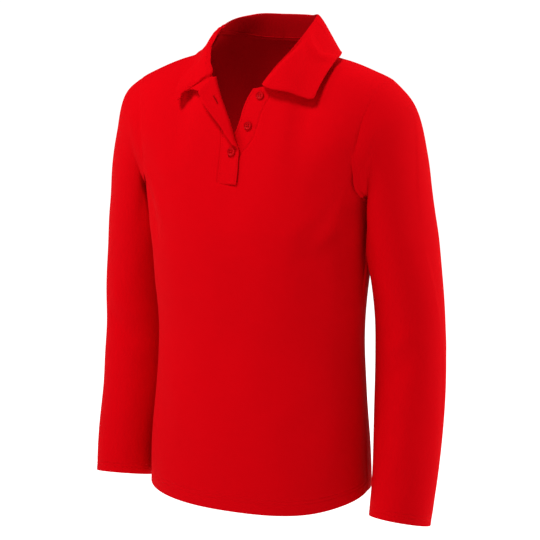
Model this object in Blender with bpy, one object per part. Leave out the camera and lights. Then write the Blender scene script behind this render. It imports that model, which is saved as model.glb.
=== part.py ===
"""A long-sleeve polo shirt, worn open at the neck, filled out as on a wearer.

Metres, +Z up. The front faces -Y and the wearer's left is +X. The origin is the point
between the two shoulder seams at the neck, where the wearer's shoulders hold the shirt.
"""
import math

import bmesh
import bpy
import numpy as np

# Driving sizes.
CLOTH = 0.0016  # thickness of a single layer of knit
COLLAR_CLOTH = 0.0020  # the collar is knitted thicker
BAND_CLOTH = 0.0016
SEAM_GAP = 0.0004  # space kept between two pieces at a seam
HEM_LEVEL = -0.645  # the shirt's length, from the shoulder seam at the neck down to the hem
BUST_LEVEL = -0.260  # fullest level of the torso, where the dome of the shoulders begins
UNDERARM_LEVEL = -0.222
TIP_HALF = 0.186  # half the distance between the shoulder tips
PLACKET_BOTTOM = -0.195
BAND_HALF = 0.0140  # half the width of a placket band
BUTTON_RADIUS = 0.0056
BUTTON_HEIGHT = 0.0022
BAND_LIFT = 0.0026  # how far the free edge of the over band stands off the panel
SLEEVE_CLEAR = 0.0030  # kept between a hanging sleeve and the body
SLEEVE_SOFT = 0.003  # how softly a sleeve is held off the body
SLEEVE_KEEP_LEVEL = -0.100  # below this the body's side holds the sleeve off
SIDE_X = 0.165  # the side of the shoulders, where the form's width is read
HOLE_FADE = 0.16  # place down a sleeve by which the armhole's shape is gone
CAP_SQUARENESS = 1.15  # how the armhole's points crowd towards the shoulder tip
FOLD_RADIUS = 0.0025  # inside radius where the over band turns back
FOLD_SPREAD = 0.24  # how much the turned-back part rises away from the panel
CLEAR_BLUR = 0.030  # over how much of the collar's length a lift of the leaf spreads
POINT_REACH = 0.030  # how much of the collar's length the rounding of a point takes
POINT_ROUND = 0.085  # how much of the leaf's width it takes
BELLY = {-1: 0.0020, 1: 0.0065}  # how far the front end of the leaf bows out
BELLY_REACH = 0.20
COLLAR_SEAT = 0.0009  # the collar starts this far off the neckline
ROLL_RADIUS = 0.0045  # at the top of the collar
STAND_PULL = 3.6  # how full the collar's curves are on each side of the roll
# How far the leaf bellies out below the roll: place along the collar, amount.
FALL_PULL = ((-1.0, 2.0), (-0.5, 1.6), (-0.25, 2.6), (0.0, 4.0), (0.5, 4.0), (1.0, 4.0))
LONGEST_PULL = 1.2
FRONT_EDGE_Y = 0.004  # the shoulder line, between the front form and the back form
OPEN_LEVEL = -0.118  # the bands start to part here, and are together at this much lower
OPEN_RUN = 0.028
COLLAR_SHOULDER = 0.5  # place along the collar at the shoulder seam
COLLAR_CORNER = 0.9  # and at the corner of the neckline, where the collar goes on along a band
BAND_TOP_SHARE = {1: 0.45, -1: 0.92}  # how much of a band's top edge the collar covers
BAND_TOP_STEPS = 20
SHOULDER_TILT = 0.045  # the wearer's left shoulder is carried a little higher
NECK_HALF = 0.073

# Torso up to the fullest level. Each row is a level section.
# height, half width, front depth, back depth, middle y, squareness
TORSO = (
    (-0.645, 0.1640, 0.1190, 0.1160, -0.016, 2.15),
    (-0.580, 0.1610, 0.1160, 0.1130, -0.016, 2.15),
    (-0.500, 0.1550, 0.1100, 0.1040, -0.015, 2.15),
    (-0.420, 0.1505, 0.1060, 0.0960, -0.013, 2.20),
    (-0.340, 0.1545, 0.1120, 0.1000, -0.011, 2.25),
    (-0.295, 0.1590, 0.1165, 0.1060, -0.009, 2.28),
    (-0.260, 0.1625, 0.1180, 0.1100, -0.007, 2.32),
)
# How much the hem is raised, round the body from the wearer's right side to the left.
# turn, on the front, on the back
HEM_LIFT = (
    (-90, -0.0045, -0.0045),
    (0, -0.0028, 0.0000),
    (40, -0.0014, 0.0040),
    (63, 0.0043, 0.0070),
    (90, 0.0095, 0.0095),
)
# Shoulder ridge from the middle outwards.
# x, height, y
RIDGE = (
    (0.000, 0.030, 0.012),
    (0.036, 0.022, 0.010),
    (0.068, 0.000, 0.006),
    (0.079, -0.0180, 0.005),
    (0.090, -0.0300, 0.004),
    (0.104, -0.0348, 0.003),
    (0.120, -0.0392, 0.002),
    (0.155, -0.0520, 0.000),
    (0.186, -0.0665, 0.000),
    (0.205, -0.0800, 0.000),
)
RIDGE_HALF_WIDTH = 0.200
RIDGE_SQUARENESS = 2.9
# How round the dome is from the fullest level up to the ridge.
# x, front exponent, back exponent
DOME = (
    (0.00, 1.62, 2.20),
    (0.08, 1.75, 2.15),
    (0.14, 2.10, 2.15),
    (0.20, 2.30, 2.30),
)
# Armhole in the angles of the torso form, from the underarm up to the shoulder tip.
# rise, turn on the front, turn on the back
ARMHOLE = (
    (8, 90.0, 90.0),
    (13, 71.0, 77.0),
    (22, 61.0, 67.0),
    (36, 55.5, 61.0),
    (54, 55.5, 59.5),
    (72, 59.5, 61.0),
    (90, 65.5, 65.5),
)
# The wearer's left sleeve, from the armhole down. tilt 90 is an upright ring and 0 a level one,
# twist turns the front of a ring towards the body and lean lifts its front.
# place, centre x, centre y, centre z, half across, half fore-aft, tilt, twist, lean
SLEEVE = (
    (0.00, 0.1760, 0.000, -0.1455, 0.0790, 0.0580, 83, 4, 0),
    (0.06, 0.1880, 0.002, -0.1600, 0.0710, 0.0580, 70, 10, 0),
    (0.13, 0.1920, 0.004, -0.1950, 0.0560, 0.0580, 50, 20, 0),
    (0.21, 0.1945, 0.006, -0.2400, 0.0460, 0.0580, 24, 28, 0),
    (0.30, 0.1985, 0.010, -0.2860, 0.0445, 0.0570, 8, 26, 0),
    (0.45, 0.2055, 0.016, -0.3620, 0.0465, 0.0535, 2, 15, 0),
    (0.60, 0.2110, 0.016, -0.4380, 0.0485, 0.0510, 0, 7, 6),
    (0.75, 0.2155, 0.005, -0.5140, 0.0480, 0.0495, -1, 3, 12),
    (0.88, 0.2180, -0.013, -0.5870, 0.0460, 0.0475, -2, 0, 16),
    (1.00, 0.2170, -0.030, -0.6500, 0.0430, 0.0440, -3, 0, 18),
)
SLEEVE_DROP = {1: 0.016, -1: 0.0065}  # the nearly straight left arm lets its cuff down further
# How far each sleeve swings out from that course.
# place, outwards
SLEEVE_SWING = {
    1: ((0.00, 0.0), (0.07, -0.0015), (0.13, -0.0035), (0.18, -0.0045), (0.22, -0.0030), (0.28, 0.0),
        (0.36, 0.0025), (0.45, 0.0036), (0.60, 0.0022), (0.75, 0.0002), (1.00, -0.0005)),
    -1: ((0.00, 0.0), (0.13, 0.0015), (0.20, 0.0035), (0.30, 0.0045), (0.38, 0.0032), (0.50, 0.0022),
         (0.60, -0.0014), (0.68, -0.0026), (0.78, -0.0056), (0.88, -0.0055), (1.00, -0.0045)),
}
# Front neckline from the placket up to the shoulder, on each side of the body.
# share of the way, x, height
NECK_LEFT = (
    (0.0, 0.0490, -0.0640),
    (0.3, 0.0600, -0.0480),
    (0.6, 0.0680, -0.0300),
    (0.8, 0.0725, -0.0160),
    (1.0, 0.0730, -0.0040),
)
NECK_RIGHT = (
    (0.0, -0.0480, -0.0592),
    (0.3, -0.0600, -0.0470),
    (0.6, -0.0690, -0.0300),
    (0.8, -0.0725, -0.0160),
    (1.0, -0.0730, -0.0040),
)
NECK_BACK = (
    (0.0, 0.0000, -0.0150),
    (0.4, 0.0300, -0.0140),
    (0.7, 0.0540, -0.0100),
    (0.9, 0.0685, -0.0060),
    (1.0, 0.0730, -0.0040),
)
# Middle line of the under band, which carries the buttons.
# height, x
BUTTON_LINE = (
    (-0.203, -0.0060),
    (-0.168, -0.0060),
    (-0.154, -0.0040),
    (-0.142, 0.0040),
    (-0.130, 0.0112),
    (-0.115, 0.0155),
    (-0.100, 0.0180),
    (-0.088, 0.0218),
    (-0.076, 0.0278),
    (-0.064, 0.0350),
)
# Seam of the over band on the wearer's right, the line along which it turns back, and its width.
# height, x of the seam, x of the fold, width
OVER_BAND = (
    (-0.203, -0.0210, 0.0071, 0.0280),
    (-0.168, -0.0210, 0.0071, 0.0280),
    (-0.154, -0.0211, 0.0050, 0.0280),
    (-0.142, -0.0217, -0.0022, 0.0280),
    (-0.129, -0.0233, -0.0084, 0.0285),
    (-0.115, -0.0264, -0.0152, 0.0290),
    (-0.103, -0.0300, -0.0221, 0.0300),
    (-0.090, -0.0345, -0.0300, 0.0310),
    (-0.080, -0.0384, -0.0356, 0.0320),
    (-0.068, -0.0442, -0.0424, 0.0325),
    (-0.0592, -0.0480, -0.0466, 0.0330),
)
OVER_SLANT = 0.0130  # how much lower the free edge of a band ends than its seam
UNDER_SLANT = 0.0080
# The collar: place along it, 0 in the middle of the back, 1 at the front end on the wearer's left
# and -1 on the right, then the top of the roll and the outer edge.
# place, roll x, y, z, edge x, y, z
COLLAR = (
    (-1.00, -0.0790, -0.0750, -0.0760, -0.0945, -0.0825, -0.0905),
    (-0.90, -0.0505, -0.0690, -0.0575, -0.0995, -0.0725, -0.0780),
    (-0.75, -0.0570, -0.0530, -0.0380, -0.1010, -0.0530, -0.0625),
    (-0.60, -0.0645, -0.0270, -0.0165, -0.0985, -0.0275, -0.0475),
    (-0.50, -0.0668, 0.0080, 0.0015, -0.0925, -0.0005, -0.0340),
    (-0.25, -0.0430, 0.0640, 0.0165, -0.0640, 0.0780, -0.0370),
    (0.00, 0.0000, 0.0765, 0.0175, 0.0000, 0.0945, -0.0360),
    (0.25, 0.0440, 0.0600, 0.0180, 0.0720, 0.0780, -0.0350),
    (0.50, 0.0705, 0.0110, 0.0175, 0.1115, 0.0000, -0.0290),
    (0.60, 0.0690, -0.0140, 0.0040, 0.1120, -0.0180, -0.0350),
    (0.75, 0.0590, -0.0400, -0.0180, 0.1085, -0.0420, -0.0490),
    (0.90, 0.0400, -0.0610, -0.0440, 0.1035, -0.0650, -0.0680),
    (1.00, 0.0280, -0.0725, -0.0635, 0.1010, -0.0765, -0.0815),
)
# How far the top of the leaf keeps off the torso: place along the collar, distance.
COLLAR_CLEAR = (
    (-1.00, 0.0095),
    (-0.85, 0.0070),
    (-0.60, 0.0054),
    (-0.35, 0.0060),
    (0.00, 0.0045),
    (0.50, 0.0050),
    (0.75, 0.0080),
    (1.00, 0.0115),
)
BUTTON_LAP = -0.145  # buttons below this level are fastened through the over band
# radius, height of each ring of a button, as shares of its radius and height
BUTTON_PROFILE = ((0.80, 0.0), (1.0, 0.30), (1.0, 0.75), (0.86, 1.0), (0.70, 0.72))
BUTTON_POINTS = 20
# button: height on its band
BUTTONS = {"button_low": -0.1536, "button_mid": -0.1190, "button_top": -0.0800}

# How finely each piece is faceted.
LOW_ROWS = 7  # level rows below the fullest level
MID_ROWS = 2
BAND_ROWS = 12
NECK_ROWS = 5
HIGH_ROWS = BAND_ROWS + NECK_ROWS
COLUMNS = 9
RING_POINTS = 24
SLEEVE_RINGS = 15
BAND_COLUMNS = 7
COLLAR_STATIONS = 32
STAND_POINTS = 4
FALL_POINTS = 6

CLOTH_COLOUR = (0.62, 0.0, 0.004)
BUTTON_COLOUR = (0.55, 0.002, 0.006)


def read(rows, place):
    """The columns of a table at a place, on a smooth curve through its rows. Column 0 is the place."""
    rows = np.array(rows, dtype=float)
    knots, values = rows[:, 0], rows[:, 1:]
    slopes = np.gradient(values, knots, axis=0)
    place = np.clip(np.asarray(place, dtype=float), knots[0], knots[-1])
    row = np.clip(np.searchsorted(knots, place, side="right") - 1, 0, len(knots) - 2)
    step = (knots[row + 1] - knots[row])[..., None]
    t = (place - knots[row])[..., None] / step
    start = (2 * t**3 - 3 * t**2 + 1) * values[row] + (t**3 - 2 * t**2 + t) * step * slopes[row]
    end = (3 * t**2 - 2 * t**3) * values[row + 1] + (t**3 - t**2) * step * slopes[row + 1]
    return start + end


def power(base, exponent):
    return np.clip(base, 0.0, None) ** exponent


def unit(vectors):
    length = np.linalg.norm(vectors, axis=-1, keepdims=True)
    return vectors / np.maximum(length, 1e-12)


def ridge_at(x):
    """Height and y of the shoulder ridge at an x, with the tilt of the shoulders."""
    height, y = np.moveaxis(read(RIDGE, np.abs(x)), -1, 0)
    return height + SHOULDER_TILT * np.sign(x) * np.maximum(np.abs(x) - NECK_HALF, 0.0), y


def torso_point(side, turn, rise):
    """A point of the torso form. side is -1 on the front and 1 on the back; turn is the angle from
    the middle to the side in degrees, negative on the wearer's right; rise is the height over the
    fullest level, in metres below it and as a dome angle in degrees above it."""
    turn, rise = np.broadcast_arrays(np.asarray(turn, float), np.asarray(rise, float))
    angle = np.radians(np.abs(turn))
    dome = np.radians(np.maximum(rise, 0.0))
    level = BUST_LEVEL + np.minimum(rise, 0.0)
    half_width, front, back, middle, square = np.moveaxis(read(TORSO, level), -1, 0)
    lift = np.sin(dome)
    square = square + (RIDGE_SQUARENESS - square) * lift
    half_width = half_width + (RIDGE_HALF_WIDTH - half_width) * lift
    x = half_width * power(np.sin(angle), 2 / square)
    depth = (front if side < 0 else back) * power(np.cos(angle), 2 / square)
    signed_x = np.where(turn < 0, -x, x)
    ridge_z, ridge_y = ridge_at(signed_x)
    bend = read(DOME, x)[..., 0 if side < 0 else 1]
    z = level + (ridge_z - level) * power(lift, 2 / bend)
    hem = (np.minimum(rise, 0.0) / (HEM_LEVEL - BUST_LEVEL)) ** 2
    z = z + hem * read(HEM_LIFT, turn)[..., 0 if side < 0 else 1]
    middle = middle + (ridge_y - middle) * lift
    y = middle + side * depth * power(np.cos(dome), 2 / bend)
    return np.stack([signed_x, y, z], axis=-1)


def torso_place(side, x, z):
    """The turn and rise of the torso form at an x and a height."""
    x, z = np.broadcast_arrays(np.asarray(x, float), np.asarray(z, float))
    ridge_z = ridge_at(x)[0]
    bend = read(DOME, np.abs(x))[..., 0 if side < 0 else 1]
    share = np.clip((z - BUST_LEVEL) / (ridge_z - BUST_LEVEL), 0.0, 1.0)
    dome = np.arcsin(np.clip(power(share, bend / 2), 0.0, 1.0))
    columns = read(TORSO, np.minimum(z, BUST_LEVEL))
    square = columns[..., 4] + (RIDGE_SQUARENESS - columns[..., 4]) * np.sin(dome)
    half_width = columns[..., 0] + (RIDGE_HALF_WIDTH - columns[..., 0]) * np.sin(dome)
    turn = np.arcsin(np.clip(power(np.abs(x) / half_width, square / 2), 0.0, 1.0))
    rise = np.where(z < BUST_LEVEL, z - BUST_LEVEL, np.degrees(dome))
    return np.sign(x) * np.degrees(turn), rise


def torso_normal(side, turn, rise):
    """The outward direction of the torso form, from points a little way off."""
    turn, rise = np.broadcast_arrays(np.asarray(turn, float), np.asarray(rise, float))
    step = np.where(rise < 0, 0.002, 0.5)
    low = np.where(rise > 0, np.maximum(rise - step, 0.0), rise - step)
    high = np.where(rise < 0, np.minimum(rise + step, 0.0), np.minimum(rise + step, 89.9))
    low = np.where(rise == 0, -0.002, low)
    low = np.where(rise >= 89.5, 88.9, low)
    across = torso_point(side, np.minimum(turn + 0.4, 89.9), rise)
    across = across - torso_point(side, np.maximum(turn - 0.4, -89.9), rise)
    upward = torso_point(side, turn, high) - torso_point(side, turn, low)
    return unit(np.cross(across, upward) * -side)


def on_front(x, z, out=0.0):
    """A point on the front form at an x and a height, moved outwards."""
    turn, rise = torso_place(-1, x, z)
    point = torso_point(-1, turn, rise)
    return point + torso_normal(-1, turn, rise) * np.asarray(out, float)[..., None]


def armhole_rise(angle):
    """The rise of the armhole at an angle round the sleeve: 0 at the top and 180 underneath."""
    tip = read(RIDGE, TIP_HALF)[0]
    height = (tip + UNDERARM_LEVEL) / 2 + (tip - UNDERARM_LEVEL) / 2 * np.cos(np.radians(angle))
    share = np.clip((height - BUST_LEVEL) / (tip - BUST_LEVEL), 0.0, 1.0)
    rise = np.degrees(np.arcsin(power(share, CAP_SQUARENESS)))
    low = ARMHOLE[0][0]
    share = (UNDERARM_LEVEL - BUST_LEVEL) / (tip - BUST_LEVEL)
    bottom = np.degrees(np.arcsin(share**CAP_SQUARENESS))
    return low + (rise - bottom) * (90 - low) / (90 - bottom)


def armhole_ring(angle, hand):
    """An armhole, the right one mirrored to the left, by the angle round the sleeve: 0 on top, 90
    in front."""
    angle = np.asarray(angle, float) % 360
    around = np.where(angle <= 180, angle, 360 - angle)
    rise = armhole_rise(around)
    turns = read(ARMHOLE, rise)
    front = torso_point(-1, turns[..., 0] * hand, rise)
    back = torso_point(1, turns[..., 1] * hand, rise)
    return np.where((angle <= 180)[..., None], front, back) * np.array([hand, 1, 1])


def inner_edge(side, hand, share):
    """The panel's edge in the middle, from level with the underarm (0) to the shoulder (1): first
    the opening on the front or the middle line on the back, then the neckline."""
    turning = BAND_ROWS / HIGH_ROWS
    if side < 0:
        neck = read(NECK_LEFT if hand > 0 else NECK_RIGHT, np.clip((share - turning) / (1 - turning), 0, 1))
        foot, top = PLACKET_BOTTOM, neck[0, 1]
    else:
        neck = read(NECK_BACK, np.clip((share - turning) / (1 - turning), 0, 1))
        foot, top = BUST_LEVEL + 0.050, NECK_BACK[0][2]
    height = foot + (top - foot) * np.clip(share / turning, 0, 1)
    return np.where(share < turning, slit_x(side, hand, height), np.abs(neck[:, 0])), \
        np.where(share < turning, height, neck[:, 1])


def band_stretch(height):
    """How much wider the under band is when measured level, where its middle line leans."""
    lean = (read(BUTTON_LINE, height + 0.001) - read(BUTTON_LINE, height - 0.001))[..., 0] / 0.002
    return np.sqrt(1 + lean**2)


def slit_x(side, hand, height):
    if side > 0:
        return np.zeros_like(height)
    if hand > 0:
        return read(BUTTON_LINE, height)[..., 0] + BAND_HALF * band_stretch(height)
    return -read(OVER_BAND, height)[..., 0]


def panel_half(side, hand):
    """Turn and rise over one half of a panel, row by row from the hem up, from its inner edge out."""
    across = np.linspace(0, 1, COLUMNS + 1)
    low_z = np.linspace(HEM_LEVEL, BUST_LEVEL, LOW_ROWS + 1)
    low_turn, low_rise = torso_place(side, slit_x(side, hand, low_z), low_z)
    high_x, high_z = inner_edge(side, hand, np.linspace(0, 1, HIGH_ROWS + 1))
    high_turn, high_rise = torso_place(side, high_x, high_z)
    mid_z = np.linspace(BUST_LEVEL, high_z[0], MID_ROWS + 1)[1:-1]
    mid_turn, mid_rise = torso_place(side, slit_x(side, hand, mid_z), mid_z)
    outer_rise = armhole_rise(np.linspace(180, 0, HIGH_ROWS + 1))
    outer_turn = read(ARMHOLE, outer_rise)[..., 0 if side < 0 else 1]
    mid_outer = np.linspace(0, outer_rise[0], MID_ROWS + 1)[1:-1]
    inner_turn = np.concatenate([low_turn, mid_turn, high_turn])
    inner_rise = np.concatenate([low_rise, mid_rise, high_rise])
    outer_turn = np.concatenate([np.full(LOW_ROWS + MID_ROWS, 90.0), outer_turn])
    outer_rise = np.concatenate([low_rise, mid_outer, outer_rise])
    turn = inner_turn[:, None] + (outer_turn - inner_turn)[:, None] * across
    rise = inner_rise[:, None] + (outer_rise - inner_rise)[:, None] * across
    return turn * hand, rise


def add_object(name, points, faces, colour, roughness=0.85):
    mesh = bpy.data.meshes.new(name)
    mesh.from_pydata([tuple(map(float, p)) for p in points], [], faces)
    shape = bmesh.new()
    shape.from_mesh(mesh)
    bmesh.ops.recalc_face_normals(shape, faces=shape.faces)
    shape.to_mesh(mesh)
    shape.free()
    mesh.shade_smooth()
    mesh.set_sharp_from_angle(angle=math.radians(50))
    item = bpy.data.objects.new(name, mesh)
    bpy.context.scene.collection.objects.link(item)
    material = bpy.data.materials.new(name)
    material.use_nodes = True
    shader = material.node_tree.nodes["Principled BSDF"]
    shader.inputs["Base Color"].default_value = (*colour, 1.0)
    shader.inputs["Roughness"].default_value = roughness
    shader.inputs["Metallic"].default_value = 0.0
    mesh.materials.append(material)
    return item


def grid_faces(rows, columns, start=0, closed=False):
    """Quads of a grid of points stored row by row."""
    faces = []
    for row in range(rows - 1):
        for column in range(columns if closed else columns - 1):
            right = (column + 1) % columns
            a, b = row * columns + column, row * columns + right
            faces.append((start + a, start + b, start + b + columns, start + a + columns))
    return faces


def add_wall(name, skins, thickness, colour=CLOTH_COLOUR):
    """A thin wall from one or more outer skins, each (points, outward normals, closed round).
    Skins that share an edge are joined, and a rim closes every free edge."""
    points, normals, faces = [], [], []
    for grid, normal, closed in skins:
        rows, columns = grid.shape[:2]
        faces += grid_faces(rows, columns, len(points), closed)
        points += list(grid.reshape(-1, 3))
        normals += list(normal.reshape(-1, 3))
    kept, index = {}, []
    for number, point in enumerate(points):
        key = tuple(np.round(point, 6))
        index.append(kept.setdefault(key, number))
    used = sorted(set(index))
    place = {number: new for new, number in enumerate(used)}
    faces = [tuple(place[index[corner]] for corner in face) for face in faces]
    faces = [face for face in faces if len(set(face)) == 4]
    outer = np.array([points[number] for number in used])
    inner = outer - np.array([normals[number] for number in used]) * thickness
    count = len(outer)
    seen = {}
    for face in faces:
        for here, there in zip(face, face[1:] + face[:1]):
            seen.setdefault(frozenset((here, there)), []).append((here, there))
    rim = [(b, a, a + count, b + count) for (a, b), *more in seen.values() if not more]
    whole = faces + [tuple(c + count for c in reversed(face)) for face in faces] + rim
    return add_object(name, np.concatenate([outer, inner]), whole, colour)


def grid_normals(grid, towards):
    """Directions across a grid of points, facing the side that towards points to on the whole."""
    along = np.gradient(grid, axis=0)
    across = np.gradient(grid, axis=1)
    normals = unit(np.cross(along, across))
    flip = np.sign((normals * towards).sum())
    return normals * flip


def build_panel(name, side):
    skins = []
    for hand in (-1, 1):
        turn, rise = panel_half(side, hand)
        skins.append((torso_point(side, turn, rise), torso_normal(side, turn, rise), False))
        if side < 0:
            rows = LOW_ROWS + MID_ROWS + 1
            share = np.linspace(0, 1, 3)
            middle_turn = turn[:rows, :1] * share
            middle_rise = np.repeat(rise[:rows, :1], 3, axis=1)
            skins.append((torso_point(side, middle_turn, middle_rise),
                          torso_normal(side, middle_turn, middle_rise), False))
    skins = [(points + np.array([0.0, side * SEAM_GAP / 2, 0.0]), out, closed)
             for points, out, closed in skins]
    return add_wall(name, skins, CLOTH)


def clear_of_torso(points, place):
    """Points of a sleeve moved outwards where they would come too close to the side of the torso."""
    level = points[..., 2]
    width, front, back, middle, square = np.moveaxis(read(TORSO, np.minimum(level, BUST_LEVEL)), -1, 0)
    rise = torso_place(-1, SIDE_X, level)[1]
    lift = np.sin(np.radians(np.maximum(rise, 0.0)))
    width = width + (RIDGE_HALF_WIDTH - width) * lift
    square = square + (RIDGE_SQUARENESS - square) * lift
    off = points[..., 1] - middle * (1 - lift)
    share = np.clip(1 - power(np.abs(off) / np.where(off < 0, front, back), square), 0, 1)
    least = width * power(share, 1 / square) + SLEEVE_CLEAR
    pushed = least + SLEEVE_SOFT * np.logaddexp(0, (points[..., 0] - least) / SLEEVE_SOFT)
    strength = np.clip(place[:, None] / 0.05, 0, 1) * np.clip((SLEEVE_KEEP_LEVEL - level) / 0.030, 0, 1)
    moved = points.copy()
    moved[..., 0] = points[..., 0] + (pushed - points[..., 0]) * strength
    return moved


def sleeve_grid(hand, place, angle):
    """Rings of a sleeve from the armhole down, the right one mirrored to the left. angle is 0
    outside, 90 in front."""
    cx, cy, cz, across, fore, tilt, twist, lean = np.moveaxis(read(SLEEVE, place), -1, 0)
    tilt, twist, lean = np.radians(tilt), np.radians(twist), np.radians(lean)
    cx = cx + read(SLEEVE_SWING[hand], place)[:, 0]
    cz = cz - SLEEVE_DROP[hand] * place**2
    centre = np.stack([cx, cy, cz], axis=-1)[:, None]
    out = np.stack([np.cos(twist) * np.cos(tilt), -np.sin(twist) * np.cos(tilt), np.sin(tilt)], axis=-1)
    front = np.stack([-np.sin(twist), -np.cos(twist), np.tan(lean)], axis=-1)
    turn = np.radians(angle)[:, None]
    rings = centre + across[:, None, None] * np.cos(turn) * out[:, None]
    rings = rings + fore[:, None, None] * np.sin(turn) * front[:, None]
    hole = armhole_ring(angle, hand)
    fade = np.clip(1 - place / HOLE_FADE, 0, 1) ** 2
    return clear_of_torso(rings + (hole - rings[0])[None] * fade[:, None, None], place)


def armhole_out(angle, hand):
    """At each angle round the armhole, the torso's outward direction plus the way off its edge."""
    angle = np.asarray(angle, float) % 360
    around = np.where(angle <= 180, angle, 360 - angle)
    rise = armhole_rise(around)
    turns = read(ARMHOLE, rise)
    side = np.where(angle <= 180, -1, 1)
    normals = np.where((side < 0)[..., None], torso_normal(-1, turns[..., 0] * hand, rise),
                       torso_normal(1, turns[..., 1] * hand, rise)) * np.array([hand, 1, 1])
    ring = armhole_ring(angle, hand)
    tangent = unit(np.roll(ring, -1, axis=0) - np.roll(ring, 1, axis=0))
    off = unit(np.cross(tangent, normals))
    middle = ring.mean(axis=0)
    off = off * np.sign(((ring - middle) * off).sum(axis=-1).mean()) * -1
    return normals, off


def build_sleeve(name, hand):
    angle = np.linspace(0, 360, RING_POINTS + 1)[:-1]
    place = np.linspace(0, 1, SLEEVE_RINGS + 1)
    grid = sleeve_grid(hand, place, angle)
    along = np.gradient(grid, axis=0)
    around = np.roll(grid, -1, axis=1) - np.roll(grid, 1, axis=1)
    normals = unit(np.cross(along, around))
    centre = grid.mean(axis=1, keepdims=True)
    normals = normals * np.sign((normals * (grid - centre)).sum())
    torso_out, off = armhole_out(angle, hand)
    grid[0] = grid[0] + (torso_out + off * 2) * SEAM_GAP
    mirror = np.array([hand, 1, 1])
    return add_wall(name, [(grid * mirror, normals * mirror, True)], CLOTH)


def curve_frame(points, normals):
    """Along each point of a curve on the front: its direction, and the way to the wearer's left."""
    along = unit(np.gradient(points, axis=0))
    return along, unit(np.cross(along, normals))


def over_band(heights, shares):
    """Points of the over band. shares run from its seam (0) to its free edge (1)."""
    seam_x, fold_x, width = np.moveaxis(read(OVER_BAND, heights), -1, 0)
    seam = on_front(seam_x, heights)
    fold = on_front(fold_x, heights)
    seam_normal = torso_normal(-1, *torso_place(-1, seam_x, heights))
    fold_normal = torso_normal(-1, *torso_place(-1, fold_x, heights))
    across = curve_frame(seam, seam_normal)[1]
    fold_along, fold_side = curve_frame(fold, fold_normal)
    before = np.minimum(np.linalg.norm(fold - seam, axis=-1), width)
    reach = SEAM_GAP + shares * (width - SEAM_GAP)
    flat_share = np.clip(reach / np.maximum(before, 1e-6), 0, 1)
    x = seam_x + (fold_x - seam_x) * flat_share
    points = on_front(x, heights, BAND_LIFT * np.minimum(reach, before) / width)
    past = np.maximum(reach - before, 0.0)
    forward = (across * fold_along).sum(axis=-1) * past
    sideways = np.abs((across * fold_side).sum(axis=-1)) * past
    angle = np.minimum(sideways, np.pi * FOLD_RADIUS) / FOLD_RADIUS
    beyond = np.maximum(sideways - np.pi * FOLD_RADIUS, 0.0)
    inward = FOLD_RADIUS * np.sin(angle) - beyond
    outward = FOLD_RADIUS * (1 - np.cos(angle)) + beyond * FOLD_SPREAD
    points = points + fold_along * forward[..., None] + fold_side * inward[..., None]
    return points + fold_normal * outward[..., None]


def under_band(heights, shares):
    """Points of the under band. shares run from its free edge (0) to its seam (1)."""
    line_x = read(BUTTON_LINE, heights)[..., 0]
    reach = -BAND_HALF + shares * (2 * BAND_HALF - SEAM_GAP)
    closed = np.clip((OPEN_LEVEL - heights) / OPEN_RUN, 0, 1)
    closed = closed**2 * (3 - 2 * closed)
    lift = -BAND_LIFT * (1 - shares) * closed
    return on_front(line_x + reach * band_stretch(heights), heights, lift)


def band_grid(hand, rows, shares):
    """A placket band from the bottom up, its free edge ending lower than its seam."""
    low = PLACKET_BOTTOM + SEAM_GAP
    if hand > 0:
        top = NECK_LEFT[0][2] - UNDER_SLANT * (1 - shares)
        heights = low + (top - low) * np.linspace(0, 1, rows + 1)[:, None]
        return under_band(heights, np.broadcast_to(shares, heights.shape))
    top = NECK_RIGHT[0][2] - OVER_SLANT * shares
    heights = low + (top - low) * np.linspace(0, 1, rows + 1)[:, None]
    return over_band(heights, np.broadcast_to(shares, heights.shape))


def build_bands():
    shares = np.linspace(0, 1, BAND_COLUMNS + 1)
    for name, hand in (("placket_over", -1), ("placket_under", 1)):
        grid = band_grid(hand, BAND_ROWS, shares)
        facing = np.zeros_like(grid)
        facing[:4] = np.array([0.0, -1.0, 0.0])
        add_wall(name, [(grid, grid_normals(grid, facing), False)], BAND_CLOTH)


def build_buttons():
    """Each button is a disc with a raised rim, lying on its band."""
    for name, height in BUTTONS.items():
        line_x = read(BUTTON_LINE, height)[0]
        out = torso_normal(-1, *torso_place(-1, line_x, height))
        lift = SEAM_GAP * 0.75
        if height < BUTTON_LAP:
            lift += BAND_LIFT * 0.8
        centre = on_front(line_x, height) + out * lift
        right = unit(np.cross(out, np.array([0.0, 0.0, 1.0])))
        up = np.cross(right, out)
        turn = np.linspace(0, 2 * np.pi, BUTTON_POINTS + 1)[:-1, None]
        points, faces = [], []
        for radius, rise in BUTTON_PROFILE:
            ring = centre + out * rise * BUTTON_HEIGHT
            ring = ring + (right * np.cos(turn) + up * np.sin(turn)) * radius * BUTTON_RADIUS
            points += list(ring)
        faces += grid_faces(len(BUTTON_PROFILE), BUTTON_POINTS, 0, True)
        faces.append(tuple(range(BUTTON_POINTS)))
        last = (len(BUTTON_PROFILE) - 1) * BUTTON_POINTS
        faces.append(tuple(range(last, last + BUTTON_POINTS)))
        add_object(name, points, faces, BUTTON_COLOUR, 0.35)


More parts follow.
